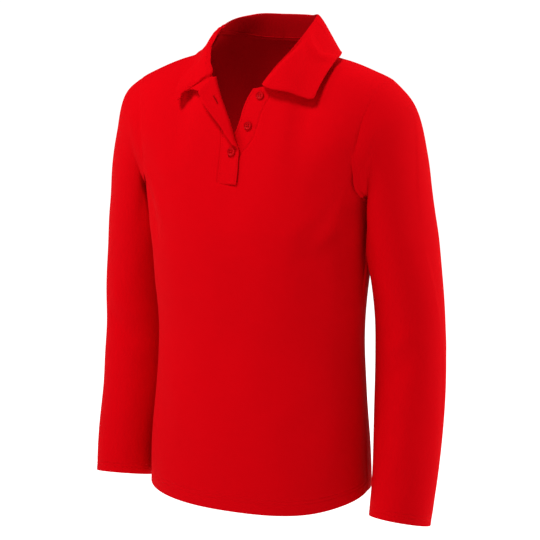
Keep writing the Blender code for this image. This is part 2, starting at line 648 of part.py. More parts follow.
def neck_point(place):
    """Where the collar is sewn on, at a place along it."""
    reach = abs(place)
    hand = 1 if place > 0 else -1
    if reach <= COLLAR_SHOULDER:
        x, z = read(NECK_BACK, reach / COLLAR_SHOULDER)
        turn, rise = torso_place(1, x * hand, z)
        return torso_point(1, turn, rise)
    share = np.clip(1 - (reach - COLLAR_SHOULDER) / (COLLAR_CORNER - COLLAR_SHOULDER), 0, 1)
    x, z = read(NECK_LEFT if hand > 0 else NECK_RIGHT, share)
    corner = on_front(x, z)
    if reach <= COLLAR_CORNER:
        return corner
    shares = np.linspace(0, 1, BAND_TOP_STEPS + 1)
    top = band_grid(hand, BAND_ROWS, shares if hand < 0 else 1 - shares)[-1]
    step = (reach - COLLAR_CORNER) / (1 - COLLAR_CORNER) * BAND_TOP_SHARE[hand] * BAND_TOP_STEPS
    low = int(min(step, BAND_TOP_STEPS - 1))
    return top[low] + (top[low + 1] - top[low]) * (step - low)


def hermite(start, end, start_pull, end_pull, t):
    t = np.broadcast_to(t, (len(start), t.shape[-1]))[..., None]
    start, end, start_pull, end_pull = (v[:, None] for v in (start, end, start_pull, end_pull))
    return ((2 * t**3 - 3 * t**2 + 1) * start + (t**3 - 2 * t**2 + t) * start_pull
            + (3 * t**2 - 2 * t**3) * end + (t**3 - t**2) * end_pull)


def clear_of_form(points, places, least):
    """Points of the leaf moved outwards where they are closer to the torso form than least."""
    side = np.where(points[..., 1] < FRONT_EDGE_Y, -1, 1)
    push = np.zeros_like(points)
    for facing in (-1, 1):
        place = torso_place(facing, points[..., 0], points[..., 2])
        under = torso_point(facing, *place)
        out = torso_normal(facing, *place)
        height = ((points - under) * out).sum(axis=-1)
        push += out * np.where((side == facing) & (height < least), least - height, 0.0)[..., None]
    spread = np.exp(-((places[:, None] - places) / CLEAR_BLUR) ** 2)
    return points + np.einsum("ij,jkl->ikl", spread / spread.sum(axis=1, keepdims=True), push)


def collar_grid(places, stand_points, fall_points):
    """The collar's showing skin, at each place from the neckline over the roll to the outer edge."""
    rows = read(COLLAR, places)
    roll, edge = rows[:, :3], rows[:, 3:]
    neck = np.array([neck_point(place) for place in places])
    neck = neck + unit(roll - neck) * COLLAR_SEAT + np.array([0.0, 0.0, COLLAR_SEAT / 2])
    rise, drop = roll - neck, edge - roll
    rise_length = np.linalg.norm(rise, axis=-1, keepdims=True)
    drop_length = np.linalg.norm(drop, axis=-1, keepdims=True)
    over = unit(rise / rise_length + drop / drop_length)
    rise_pull = over * np.minimum(np.sqrt(ROLL_RADIUS * STAND_PULL * rise_length),
                                  LONGEST_PULL * rise_length)
    drop_pull = over * np.minimum(np.sqrt(ROLL_RADIUS * read(FALL_PULL, places) * drop_length),
                                  LONGEST_PULL * drop_length)
    up = 1 - (1 - np.linspace(0, 1, stand_points + 1)) ** 1.4
    down = np.linspace(0, 1, fall_points + 1)[1:] ** 1.5
    stand = hermite(neck, roll, rise, rise_pull, up)
    near_end = np.clip((np.abs(places) - 1) / POINT_REACH + 1, 0, 1)
    shorter = POINT_ROUND * (1 - np.sqrt(1 - near_end**2))
    fall = hermite(roll, edge, drop_pull, drop, down * (1 - shorter[:, None]))
    for hand, last, before in ((-1, 0, 1), (1, -1, -2)):
        onward = unit(fall[last] - fall[before])
        bow = BELLY[hand] * np.clip((places * hand - 1) / BELLY_REACH + 1, 0, 1) ** 2
        fall = fall + onward * (bow[:, None] * np.sin(np.pi * down))[..., None]
    least = read(COLLAR_CLEAR, places) * np.minimum(down * 4, 1)
    return np.concatenate([stand, clear_of_form(fall, places, least)], axis=1)


def build_collar():
    places = np.linspace(-1, 1, COLLAR_STATIONS + 1)
    grid = collar_grid(places, STAND_POINTS, FALL_POINTS)
    toward = np.zeros_like(grid)
    toward[:, -2:] = unit(grid[:, -2:] * np.array([1.0, 1.0, 0.0]) + np.array([0.0, 0.0, 0.05]))
    add_wall("collar", [(grid, grid_normals(grid, toward), False)], COLLAR_CLOTH)


def main():
    for item in list(bpy.data.objects):
        bpy.data.objects.remove(item)
    build_panel("front", -1)
    build_panel("back", 1)
    build_sleeve("sleeve_left", 1)
    build_sleeve("sleeve_right", -1)
    build_bands()
    build_collar()
    build_buttons()


main()
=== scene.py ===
"""The looks of a long-sleeve polo shirt: knit cloth, turned hems, stitching, buttons and light.

Metres, +Z up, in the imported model's own frame. The front faces -Y and the wearer's left is +X.
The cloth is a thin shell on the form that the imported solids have, so the sizes and the tables
below are the same as theirs. Only the collar keeps closer to the torso here, in COLLAR_CLEAR.
"""
import math

import bpy
import numpy as np
from mathutils import Matrix, Vector


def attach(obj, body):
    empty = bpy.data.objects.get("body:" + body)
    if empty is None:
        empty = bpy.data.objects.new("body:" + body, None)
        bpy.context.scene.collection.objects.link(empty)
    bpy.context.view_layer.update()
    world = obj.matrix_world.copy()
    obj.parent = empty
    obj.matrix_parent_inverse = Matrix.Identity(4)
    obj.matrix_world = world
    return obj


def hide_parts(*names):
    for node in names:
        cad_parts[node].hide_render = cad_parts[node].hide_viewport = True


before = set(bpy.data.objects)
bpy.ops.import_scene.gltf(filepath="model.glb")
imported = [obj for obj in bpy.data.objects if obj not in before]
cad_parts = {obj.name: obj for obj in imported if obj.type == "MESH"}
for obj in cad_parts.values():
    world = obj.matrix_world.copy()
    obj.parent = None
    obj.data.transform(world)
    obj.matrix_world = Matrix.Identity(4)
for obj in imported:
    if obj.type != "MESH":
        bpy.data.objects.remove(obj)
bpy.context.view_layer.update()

# Driving sizes.
SEAM_GAP = 0.0004  # space kept between two pieces at a seam
HEM_LEVEL = -0.645  # the shirt's length, from the shoulder seam at the neck down to the hem
BUST_LEVEL = -0.260  # fullest level of the torso, where the dome of the shoulders begins
UNDERARM_LEVEL = -0.222
TIP_HALF = 0.186  # half the distance between the shoulder tips
PLACKET_BOTTOM = -0.195
BAND_HALF = 0.0140  # half the width of a placket band
BUTTON_RADIUS = 0.0056
BUTTON_HEIGHT = 0.0022
BAND_LIFT = 0.0026  # how far the free edge of the over band stands off the panel
SLEEVE_CLEAR = 0.0030  # kept between a hanging sleeve and the body
SLEEVE_SOFT = 0.003  # how softly a sleeve is held off the body
SLEEVE_KEEP_LEVEL = -0.100  # below this the body's side holds the sleeve off
SLEEVE_KEEP_RUN = 0.030  # in full this much lower
SLEEVE_KEEP_PLACE = 0.05  # and from this place down the sleeve
SIDE_X = 0.165  # the side of the shoulders, where the form's width is read
HOLE_FADE = 0.16  # place down a sleeve by which the armhole's shape is gone
CAP_SQUARENESS = 1.15  # how the armhole's points crowd towards the shoulder tip
FOLD_RADIUS = 0.0025  # inside radius where the over band turns back
FOLD_SPREAD = 0.24  # how much the turned-back part rises away from the panel
CLEAR_BLUR = 0.030  # over how much of the collar's length a lift of the leaf spreads
POINT_REACH = 0.030  # how much of the collar's length the rounding of a point takes
POINT_ROUND = 0.085  # how much of the leaf's width it takes
BELLY = {-1: 0.0020, 1: 0.0065}  # how far the front end of the leaf bows out
BELLY_REACH = 0.20  # over how much of the collar's length it does
STAND_CROWD = 1.4  # how the collar's rows crowd towards the roll from below
FALL_CROWD = 1.5  # and from the outer edge
CLEAR_FROM = 0.25  # share of the leaf, from the roll, by which it is held off the torso in full
COLLAR_SEAT = 0.0009  # the collar starts this far off the neckline
ROLL_RADIUS = 0.0045  # at the top of the collar
STAND_PULL = 3.6  # how full the collar's curves are on each side of the roll
# How far the leaf bellies out below the roll: place along the collar, amount.
FALL_PULL = ((-1.0, 2.0), (-0.5, 1.6), (-0.25, 2.6), (0.0, 4.0), (0.5, 4.0), (1.0, 4.0))
LONGEST_PULL = 1.2
FRONT_EDGE_Y = 0.004  # the shoulder line, between the front form and the back form
OPEN_LEVEL = -0.118  # the bands start to part here, and are together at this much lower
OPEN_RUN = 0.028
COLLAR_SHOULDER = 0.5  # place along the collar at the shoulder seam
COLLAR_CORNER = 0.9  # and at the corner of the neckline, where the collar goes on along a band
BAND_TOP_SHARE = {1: 0.45, -1: 0.92}  # how much of a band's top edge the collar covers
BAND_TOP_STEPS = 20
SHOULDER_TILT = 0.045  # the wearer's left shoulder is carried a little higher
NECK_HALF = 0.073

# Torso up to the fullest level. Each row is a level section.
# height, half width, front depth, back depth, middle y, squareness
TORSO = (
    (-0.645, 0.1640, 0.1190, 0.1160, -0.016, 2.15),
    (-0.580, 0.1610, 0.1160, 0.1130, -0.016, 2.15),
    (-0.500, 0.1550, 0.1100, 0.1040, -0.015, 2.15),
    (-0.420, 0.1505, 0.1060, 0.0960, -0.013, 2.20),
    (-0.340, 0.1545, 0.1120, 0.1000, -0.011, 2.25),
    (-0.295, 0.1590, 0.1165, 0.1060, -0.009, 2.28),
    (-0.260, 0.1625, 0.1180, 0.1100, -0.007, 2.32),
)
# How much the hem is raised, round the body from the wearer's right side to the left.
# turn, on the front, on the back
HEM_LIFT = (
    (-90, -0.0045, -0.0045),
    (0, -0.0028, 0.0000),
    (40, -0.0014, 0.0040),
    (63, 0.0043, 0.0070),
    (90, 0.0095, 0.0095),
)
# Shoulder ridge from the middle outwards.
# x, height, y
RIDGE = (
    (0.000, 0.030, 0.012),
    (0.036, 0.022, 0.010),
    (0.068, 0.000, 0.006),
    (0.079, -0.0180, 0.005),
    (0.090, -0.0300, 0.004),
    (0.104, -0.0348, 0.003),
    (0.120, -0.0392, 0.002),
    (0.155, -0.0520, 0.000),
    (0.186, -0.0665, 0.000),
    (0.205, -0.0800, 0.000),
)
RIDGE_HALF_WIDTH = 0.200
RIDGE_SQUARENESS = 2.9
# How round the dome is from the fullest level up to the ridge.
# x, front exponent, back exponent
DOME = (
    (0.00, 1.62, 2.20),
    (0.08, 1.75, 2.15),
    (0.14, 2.10, 2.15),
    (0.20, 2.30, 2.30),
)
# Armhole in the angles of the torso form, from the underarm up to the shoulder tip.
# rise, turn on the front, turn on the back
ARMHOLE = (
    (8, 90.0, 90.0),
    (13, 71.0, 77.0),
    (22, 61.0, 67.0),
    (36, 55.5, 61.0),
    (54, 55.5, 59.5),
    (72, 59.5, 61.0),
    (90, 65.5, 65.5),
)
# The wearer's left sleeve, from the armhole down. tilt 90 is an upright ring and 0 a level one,
# twist turns the front of a ring towards the body and lean lifts its front.
# place, centre x, centre y, centre z, half across, half fore-aft, tilt, twist, lean
SLEEVE = (
    (0.00, 0.1760, 0.000, -0.1455, 0.0790, 0.0580, 83, 4, 0),
    (0.06, 0.1880, 0.002, -0.1600, 0.0710, 0.0580, 70, 10, 0),
    (0.13, 0.1920, 0.004, -0.1950, 0.0560, 0.0580, 50, 20, 0),
    (0.21, 0.1945, 0.006, -0.2400, 0.0460, 0.0580, 24, 28, 0),
    (0.30, 0.1985, 0.010, -0.2860, 0.0445, 0.0570, 8, 26, 0),
    (0.45, 0.2055, 0.016, -0.3620, 0.0465, 0.0535, 2, 15, 0),
    (0.60, 0.2110, 0.016, -0.4380, 0.0485, 0.0510, 0, 7, 6),
    (0.75, 0.2155, 0.005, -0.5140, 0.0480, 0.0495, -1, 3, 12),
    (0.88, 0.2180, -0.013, -0.5870, 0.0460, 0.0475, -2, 0, 16),
    (1.00, 0.2170, -0.030, -0.6500, 0.0430, 0.0440, -3, 0, 18),
)
SLEEVE_DROP = {1: 0.016, -1: 0.0065}  # the nearly straight left arm lets its cuff down further
# How far each sleeve swings out from that course.
# place, outwards
SLEEVE_SWING = {
    1: ((0.00, 0.0), (0.07, -0.0015), (0.13, -0.0035), (0.18, -0.0045), (0.22, -0.0030), (0.28, 0.0),
        (0.36, 0.0025), (0.45, 0.0036), (0.60, 0.0022), (0.75, 0.0002), (1.00, -0.0005)),
    -1: ((0.00, 0.0), (0.13, 0.0015), (0.20, 0.0035), (0.30, 0.0045), (0.38, 0.0032), (0.50, 0.0022),
         (0.60, -0.0014), (0.68, -0.0026), (0.78, -0.0056), (0.88, -0.0055), (1.00, -0.0045)),
}
# Front neckline from the placket up to the shoulder, on each side of the body.
# share of the way, x, height
NECK_LEFT = (
    (0.0, 0.0490, -0.0640),
    (0.3, 0.0600, -0.0480),
    (0.6, 0.0680, -0.0300),
    (0.8, 0.0725, -0.0160),
    (1.0, 0.0730, -0.0040),
)
NECK_RIGHT = (
    (0.0, -0.0480, -0.0592),
    (0.3, -0.0600, -0.0470),
    (0.6, -0.0690, -0.0300),
    (0.8, -0.0725, -0.0160),
    (1.0, -0.0730, -0.0040),
)
NECK_BACK = (
    (0.0, 0.0000, -0.0150),
    (0.4, 0.0300, -0.0140),
    (0.7, 0.0540, -0.0100),
    (0.9, 0.0685, -0.0060),
    (1.0, 0.0730, -0.0040),
)
# Middle line of the under band, which carries the buttons.
# height, x
BUTTON_LINE = (
    (-0.203, -0.0060),
    (-0.168, -0.0060),
    (-0.154, -0.0040),
    (-0.142, 0.0040),
    (-0.130, 0.0112),
    (-0.115, 0.0155),
    (-0.100, 0.0180),
    (-0.088, 0.0218),
    (-0.076, 0.0278),
    (-0.064, 0.0350),
)
# Seam of the over band on the wearer's right, the line along which it turns back, and its width.
# height, x of the seam, x of the fold, width
OVER_BAND = (
    (-0.203, -0.0210, 0.0071, 0.0280),
    (-0.168, -0.0210, 0.0071, 0.0280),
    (-0.154, -0.0211, 0.0050, 0.0280),
    (-0.142, -0.0217, -0.0022, 0.0280),
    (-0.129, -0.0233, -0.0084, 0.0285),
    (-0.115, -0.0264, -0.0152, 0.0290),
    (-0.103, -0.0300, -0.0221, 0.0300),
    (-0.090, -0.0345, -0.0300, 0.0310),
    (-0.080, -0.0384, -0.0356, 0.0320),
    (-0.068, -0.0442, -0.0424, 0.0325),
    (-0.0592, -0.0480, -0.0466, 0.0330),
)
OVER_SLANT = 0.0130  # how much lower the free edge of a band ends than its seam
UNDER_SLANT = 0.0080
# The collar: place along it, 0 in the middle of the back, 1 at the front end on the wearer's left
# and -1 on the right, then the top of the roll and the outer edge.
# place, roll x, y, z, edge x, y, z
COLLAR = (
    (-1.00, -0.0790, -0.0750, -0.0760, -0.0945, -0.0825, -0.0905),
    (-0.90, -0.0505, -0.0690, -0.0575, -0.0995, -0.0725, -0.0780),
    (-0.75, -0.0570, -0.0530, -0.0380, -0.1010, -0.0530, -0.0625),
    (-0.60, -0.0645, -0.0270, -0.0165, -0.0985, -0.0275, -0.0475),
    (-0.50, -0.0668, 0.0080, 0.0015, -0.0925, -0.0005, -0.0340),
    (-0.25, -0.0430, 0.0640, 0.0165, -0.0640, 0.0780, -0.0370),
    (0.00, 0.0000, 0.0765, 0.0175, 0.0000, 0.0945, -0.0360),
    (0.25, 0.0440, 0.0600, 0.0180, 0.0720, 0.0780, -0.0350),
    (0.50, 0.0705, 0.0110, 0.0175, 0.1115, 0.0000, -0.0290),
    (0.60, 0.0690, -0.0140, 0.0040, 0.1120, -0.0180, -0.0350),
    (0.75, 0.0590, -0.0400, -0.0180, 0.1085, -0.0420, -0.0490),
    (0.90, 0.0400, -0.0610, -0.0440, 0.1035, -0.0650, -0.0680),
    (1.00, 0.0280, -0.0725, -0.0635, 0.1010, -0.0765, -0.0815),
)
# How far the top of the leaf keeps off the torso: place along the collar, distance.
COLLAR_CLEAR = (
    (-1.00, 0.0095),
    (-0.85, 0.0070),
    (-0.60, 0.0042),
    (0.00, 0.0042),
    (0.50, 0.0050),
    (0.75, 0.0080),
    (1.00, 0.0115),
)
BUTTON_LAP = -0.145  # buttons below this level are fastened through the over band
# button: height on its band
BUTTONS = {"button_low": -0.1536, "button_mid": -0.1190, "button_top": -0.0800}

TURN_SHARE = 12 / 17  # of an inner edge's rows, those along the placket
BACK_FOOT = 0.050  # on the back they start this far over the fullest level
BAND_TOP_ROWS = 60
LEAN_STEP = 0.001  # each way from where the lean of the bands is read
# Between the points that give the form's outward direction.
LEVEL_STEP = 0.002  # metres
DOME_STEP = 0.5  # degrees
TURN_STEP = 0.4
FORM_END = 89.9  # just short of the side and of the ridge
RIDGE_FROM = 89.5  # from here up, the lower point stays at RIDGE_LOW
RIDGE_LOW = 88.9


def read(rows, place):
    """The columns of a table at a place, on a smooth curve through its rows. Column 0 is the place."""
    rows = np.array(rows, dtype=float)
    knots, values = rows[:, 0], rows[:, 1:]
    slopes = np.gradient(values, knots, axis=0)
    place = np.clip(np.asarray(place, dtype=float), knots[0], knots[-1])
    row = np.clip(np.searchsorted(knots, place, side="right") - 1, 0, len(knots) - 2)
    step = (knots[row + 1] - knots[row])[..., None]
    t = (place - knots[row])[..., None] / step
    start = (2 * t**3 - 3 * t**2 + 1) * values[row] + (t**3 - 2 * t**2 + t) * step * slopes[row]
    end = (3 * t**2 - 2 * t**3) * values[row + 1] + (t**3 - t**2) * step * slopes[row + 1]
    return start + end


def power(base, exponent):
    return np.clip(base, 0.0, None) ** exponent


def unit(vectors):
    length = np.linalg.norm(vectors, axis=-1, keepdims=True)
    return vectors / np.maximum(length, 1e-12)


def ridge_at(x):
    """Height and y of the shoulder ridge at an x, with the tilt of the shoulders."""
    height, y = np.moveaxis(read(RIDGE, np.abs(x)), -1, 0)
    return height + SHOULDER_TILT * np.sign(x) * np.maximum(np.abs(x) - NECK_HALF, 0.0), y


def torso_point(side, turn, rise):
    """A point of the torso form. side is -1 on the front and 1 on the back; turn is the angle from
    the middle to the side in degrees, negative on the wearer's right; rise is the height over the
    fullest level, in metres below it and as a dome angle in degrees above it."""
    turn, rise = np.broadcast_arrays(np.asarray(turn, float), np.asarray(rise, float))
    angle = np.radians(np.abs(turn))
    dome = np.radians(np.maximum(rise, 0.0))
    level = BUST_LEVEL + np.minimum(rise, 0.0)
    half_width, front, back, middle, square = np.moveaxis(read(TORSO, level), -1, 0)
    lift = np.sin(dome)
    square = square + (RIDGE_SQUARENESS - square) * lift
    half_width = half_width + (RIDGE_HALF_WIDTH - half_width) * lift
    x = half_width * power(np.sin(angle), 2 / square)
    depth = (front if side < 0 else back) * power(np.cos(angle), 2 / square)
    signed_x = np.where(turn < 0, -x, x)
    ridge_z, ridge_y = ridge_at(signed_x)
    bend = read(DOME, x)[..., 0 if side < 0 else 1]
    z = level + (ridge_z - level) * power(lift, 2 / bend)
    hem = (np.minimum(rise, 0.0) / (HEM_LEVEL - BUST_LEVEL)) ** 2
    z = z + hem * read(HEM_LIFT, turn)[..., 0 if side < 0 else 1]
    middle = middle + (ridge_y - middle) * lift
    y = middle + side * depth * power(np.cos(dome), 2 / bend)
    return np.stack([signed_x, y, z], axis=-1)


def torso_place(side, x, z):
    """The turn and rise of the torso form at an x and a height."""
    x, z = np.broadcast_arrays(np.asarray(x, float), np.asarray(z, float))
    ridge_z = ridge_at(x)[0]
    bend = read(DOME, np.abs(x))[..., 0 if side < 0 else 1]
    share = np.clip((z - BUST_LEVEL) / (ridge_z - BUST_LEVEL), 0.0, 1.0)
    dome = np.arcsin(np.clip(power(share, bend / 2), 0.0, 1.0))
    columns = read(TORSO, np.minimum(z, BUST_LEVEL))
    square = columns[..., 4] + (RIDGE_SQUARENESS - columns[..., 4]) * np.sin(dome)
    half_width = columns[..., 0] + (RIDGE_HALF_WIDTH - columns[..., 0]) * np.sin(dome)
    turn = np.arcsin(np.clip(power(np.abs(x) / half_width, square / 2), 0.0, 1.0))
    rise = np.where(z < BUST_LEVEL, z - BUST_LEVEL, np.degrees(dome))
    return np.sign(x) * np.degrees(turn), rise


def torso_normal(side, turn, rise):
    """The outward direction of the torso form, from points a little way off."""
    turn, rise = np.broadcast_arrays(np.asarray(turn, float), np.asarray(rise, float))
    step = np.where(rise < 0, LEVEL_STEP, DOME_STEP)
    low = np.where(rise > 0, np.maximum(rise - step, 0.0), rise - step)
    high = np.where(rise < 0, np.minimum(rise + step, 0.0), np.minimum(rise + step, FORM_END))
    low = np.where(rise == 0, -LEVEL_STEP, low)
    low = np.where(rise >= RIDGE_FROM, RIDGE_LOW, low)
    across = torso_point(side, np.minimum(turn + TURN_STEP, FORM_END), rise)
    across = across - torso_point(side, np.maximum(turn - TURN_STEP, -FORM_END), rise)
    upward = torso_point(side, turn, high) - torso_point(side, turn, low)
    return unit(np.cross(across, upward) * -side)


def on_front(x, z, out=0.0):
    """A point on the front form at an x and a height, moved outwards."""
    turn, rise = torso_place(-1, x, z)
    point = torso_point(-1, turn, rise)
    return point + torso_normal(-1, turn, rise) * np.asarray(out, float)[..., None]


def armhole_rise(angle):
    """The rise of the armhole at an angle round the sleeve: 0 at the top and 180 underneath."""
    tip = read(RIDGE, TIP_HALF)[0]
    height = (tip + UNDERARM_LEVEL) / 2 + (tip - UNDERARM_LEVEL) / 2 * np.cos(np.radians(angle))
    share = np.clip((height - BUST_LEVEL) / (tip - BUST_LEVEL), 0.0, 1.0)
    rise = np.degrees(np.arcsin(power(share, CAP_SQUARENESS)))
    low = ARMHOLE[0][0]
    share = (UNDERARM_LEVEL - BUST_LEVEL) / (tip - BUST_LEVEL)
    bottom = np.degrees(np.arcsin(share**CAP_SQUARENESS))
    return low + (rise - bottom) * (90 - low) / (90 - bottom)


def round_armhole(form, angle, hand):
    """Points or outward directions of the torso form round an armhole, the right one mirrored to the
    left, by the angle round the sleeve: 0 on top, 90 in front."""
    angle = np.asarray(angle, float) % 360
    rise = armhole_rise(np.where(angle <= 180, angle, 360 - angle))
    turns = read(ARMHOLE, rise) * hand
    front, back = form(-1, turns[..., 0], rise), form(1, turns[..., 1], rise)
    return np.where((angle <= 180)[..., None], front, back) * np.array([hand, 1, 1])


def inner_edge(side, hand, share):
    """The panel's edge in the middle, from level with the underarm (0) to the shoulder (1): first
    the opening on the front or the middle line on the back, then the neckline."""
    along_neck = np.clip((share - TURN_SHARE) / (1 - TURN_SHARE), 0, 1)
    if side < 0:
        neck = read(NECK_LEFT if hand > 0 else NECK_RIGHT, along_neck)
        foot, top = PLACKET_BOTTOM, neck[0, 1]
    else:
        neck = read(NECK_BACK, along_neck)
        foot, top = BUST_LEVEL + BACK_FOOT, NECK_BACK[0][2]
    height = foot + (top - foot) * np.clip(share / TURN_SHARE, 0, 1)
    on_slit = share < TURN_SHARE
    x = np.where(on_slit, slit_x(side, hand, height), np.abs(neck[:, 0]))
    return x, np.where(on_slit, height, neck[:, 1])


def band_stretch(height):
    """How much wider the under band is when measured level, where its middle line leans."""
    ahead, behind = read(BUTTON_LINE, height + LEAN_STEP), read(BUTTON_LINE, height - LEAN_STEP)
    lean = (ahead - behind)[..., 0] / (2 * LEAN_STEP)
    return np.sqrt(1 + lean**2)


def slit_x(side, hand, height):
    if side > 0:
        return np.zeros_like(height)
    if hand > 0:
        return read(BUTTON_LINE, height)[..., 0] + BAND_HALF * band_stretch(height)
    return -read(OVER_BAND, height)[..., 0]


def clear_of_torso(points, place):
    """Points of a sleeve moved outwards where they would come too close to the side of the torso."""
    level = points[..., 2]
    width, front, back, middle, square = np.moveaxis(read(TORSO, np.minimum(level, BUST_LEVEL)), -1, 0)
    rise = torso_place(-1, SIDE_X, level)[1]
    lift = np.sin(np.radians(np.maximum(rise, 0.0)))
    width = width + (RIDGE_HALF_WIDTH - width) * lift
    square = square + (RIDGE_SQUARENESS - square) * lift
    off = points[..., 1] - middle * (1 - lift)
    share = np.clip(1 - power(np.abs(off) / np.where(off < 0, front, back), square), 0, 1)
    least = width * power(share, 1 / square) + SLEEVE_CLEAR
    pushed = least + SLEEVE_SOFT * np.logaddexp(0, (points[..., 0] - least) / SLEEVE_SOFT)
    strength = np.clip(place[:, None] / SLEEVE_KEEP_PLACE, 0, 1)
    strength = strength * np.clip((SLEEVE_KEEP_LEVEL - level) / SLEEVE_KEEP_RUN, 0, 1)
    moved = points.copy()
    moved[..., 0] = points[..., 0] + (pushed - points[..., 0]) * strength
    return moved


def sleeve_grid(hand, place, angle):
    """Rings of a sleeve from the armhole down, the right one mirrored to the left. angle is 0
    outside, 90 in front."""
    cx, cy, cz, across, fore, tilt, twist, lean = np.moveaxis(read(SLEEVE, place), -1, 0)
    tilt, twist, lean = np.radians(tilt), np.radians(twist), np.radians(lean)
    cx = cx + read(SLEEVE_SWING[hand], place)[:, 0]
    cz = cz - SLEEVE_DROP[hand] * place**2
    centre = np.stack([cx, cy, cz], axis=-1)[:, None]
    out = np.stack([np.cos(twist) * np.cos(tilt), -np.sin(twist) * np.cos(tilt), np.sin(tilt)], axis=-1)
    front = np.stack([-np.sin(twist), -np.cos(twist), np.tan(lean)], axis=-1)
    turn = np.radians(angle)[:, None]
    rings = centre + across[:, None, None] * np.cos(turn) * out[:, None]
    rings = rings + fore[:, None, None] * np.sin(turn) * front[:, None]
    hole = round_armhole(torso_point, angle, hand)
    fade = np.clip(1 - place / HOLE_FADE, 0, 1) ** 2
    return clear_of_torso(rings + (hole - rings[0])[None] * fade[:, None, None], place)


def armhole_out(angle, hand):
    """At each angle round the armhole, the torso's outward direction plus the way off its edge."""
    normals = round_armhole(torso_normal, angle, hand)
    ring = round_armhole(torso_point, angle, hand)
    tangent = unit(np.roll(ring, -1, axis=0) - np.roll(ring, 1, axis=0))
    off = unit(np.cross(tangent, normals))
    middle = ring.mean(axis=0)
    off = off * np.sign(((ring - middle) * off).sum(axis=-1).mean()) * -1
    return normals, off


def grid_normals(grid, towards):
    """Directions across a grid of points, facing the side that towards points to on the whole."""
    along = np.gradient(grid, axis=0)
    across = np.gradient(grid, axis=1)
    normals = unit(np.cross(along, across))
    flip = np.sign((normals * towards).sum())
    return normals * flip


def curve_frame(points, normals):
    """Along each point of a curve on the front: its direction, and the way to the wearer's left."""
    along = unit(np.gradient(points, axis=0))
    return along, unit(np.cross(along, normals))


def over_band(heights, shares):
    """Points of the over band. shares run from its seam (0) to its free edge (1)."""
    seam_x, fold_x, width = np.moveaxis(read(OVER_BAND, heights), -1, 0)
    seam = on_front(seam_x, heights)
    fold = on_front(fold_x, heights)
    seam_normal = torso_normal(-1, *torso_place(-1, seam_x, heights))
    fold_normal = torso_normal(-1, *torso_place(-1, fold_x, heights))
    across = curve_frame(seam, seam_normal)[1]
    fold_along, fold_side = curve_frame(fold, fold_normal)
    before = np.minimum(np.linalg.norm(fold - seam, axis=-1), width)
    reach = SEAM_GAP + shares * (width - SEAM_GAP)
    flat_share = np.clip(reach / np.maximum(before, 1e-6), 0, 1)
    x = seam_x + (fold_x - seam_x) * flat_share
    points = on_front(x, heights, BAND_LIFT * np.minimum(reach, before) / width)
    past = np.maximum(reach - before, 0.0)
    forward = (across * fold_along).sum(axis=-1) * past
    sideways = np.abs((across * fold_side).sum(axis=-1)) * past
    angle = np.minimum(sideways, np.pi * FOLD_RADIUS) / FOLD_RADIUS
    beyond = np.maximum(sideways - np.pi * FOLD_RADIUS, 0.0)
    inward = FOLD_RADIUS * np.sin(angle) - beyond
    outward = FOLD_RADIUS * (1 - np.cos(angle)) + beyond * FOLD_SPREAD
    points = points + fold_along * forward[..., None] + fold_side * inward[..., None]
    return points + fold_normal * outward[..., None]


def under_band(heights, shares):
    """Points of the under band. shares run from its free edge (0) to its seam (1)."""
    line_x = read(BUTTON_LINE, heights)[..., 0]
    reach = -BAND_HALF + shares * (2 * BAND_HALF - SEAM_GAP)
    closed = np.clip((OPEN_LEVEL - heights) / OPEN_RUN, 0, 1)
    closed = closed**2 * (3 - 2 * closed)
    lift = -BAND_LIFT * (1 - shares) * closed
    return on_front(line_x + reach * band_stretch(heights), heights, lift)


def band_grid(hand, rows, shares):
    """A placket band from the bottom up, its free edge ending lower than its seam."""
    low = PLACKET_BOTTOM + SEAM_GAP
    if hand > 0:
        top = NECK_LEFT[0][2] - UNDER_SLANT * (1 - shares)
        heights = low + (top - low) * np.linspace(0, 1, rows + 1)[:, None]
        return under_band(heights, np.broadcast_to(shares, heights.shape))
    top = NECK_RIGHT[0][2] - OVER_SLANT * shares
    heights = low + (top - low) * np.linspace(0, 1, rows + 1)[:, None]
    return over_band(heights, np.broadcast_to(shares, heights.shape))


def neck_point(place):
    """Where the collar is sewn on, at a place along it."""
    reach = abs(place)
    hand = 1 if place > 0 else -1
    if reach <= COLLAR_SHOULDER:
        x, z = read(NECK_BACK, reach / COLLAR_SHOULDER)
        turn, rise = torso_place(1, x * hand, z)
        return torso_point(1, turn, rise)
    share = np.clip(1 - (reach - COLLAR_SHOULDER) / (COLLAR_CORNER - COLLAR_SHOULDER), 0, 1)
    x, z = read(NECK_LEFT if hand > 0 else NECK_RIGHT, share)
    corner = on_front(x, z)
    if reach <= COLLAR_CORNER:
        return corner
    shares = np.linspace(0, 1, BAND_TOP_STEPS + 1)
    top = band_grid(hand, BAND_TOP_ROWS, shares if hand < 0 else 1 - shares)[-1]
    step = (reach - COLLAR_CORNER) / (1 - COLLAR_CORNER) * BAND_TOP_SHARE[hand] * BAND_TOP_STEPS
    low = int(min(step, BAND_TOP_STEPS - 1))
    return top[low] + (top[low + 1] - top[low]) * (step - low)


def hermite(start, end, start_pull, end_pull, t):
    t = np.broadcast_to(t, (len(start), t.shape[-1]))[..., None]
    start, end, start_pull, end_pull = (v[:, None] for v in (start, end, start_pull, end_pull))
    return ((2 * t**3 - 3 * t**2 + 1) * start + (t**3 - 2 * t**2 + t) * start_pull
            + (3 * t**2 - 2 * t**3) * end + (t**3 - t**2) * end_pull)


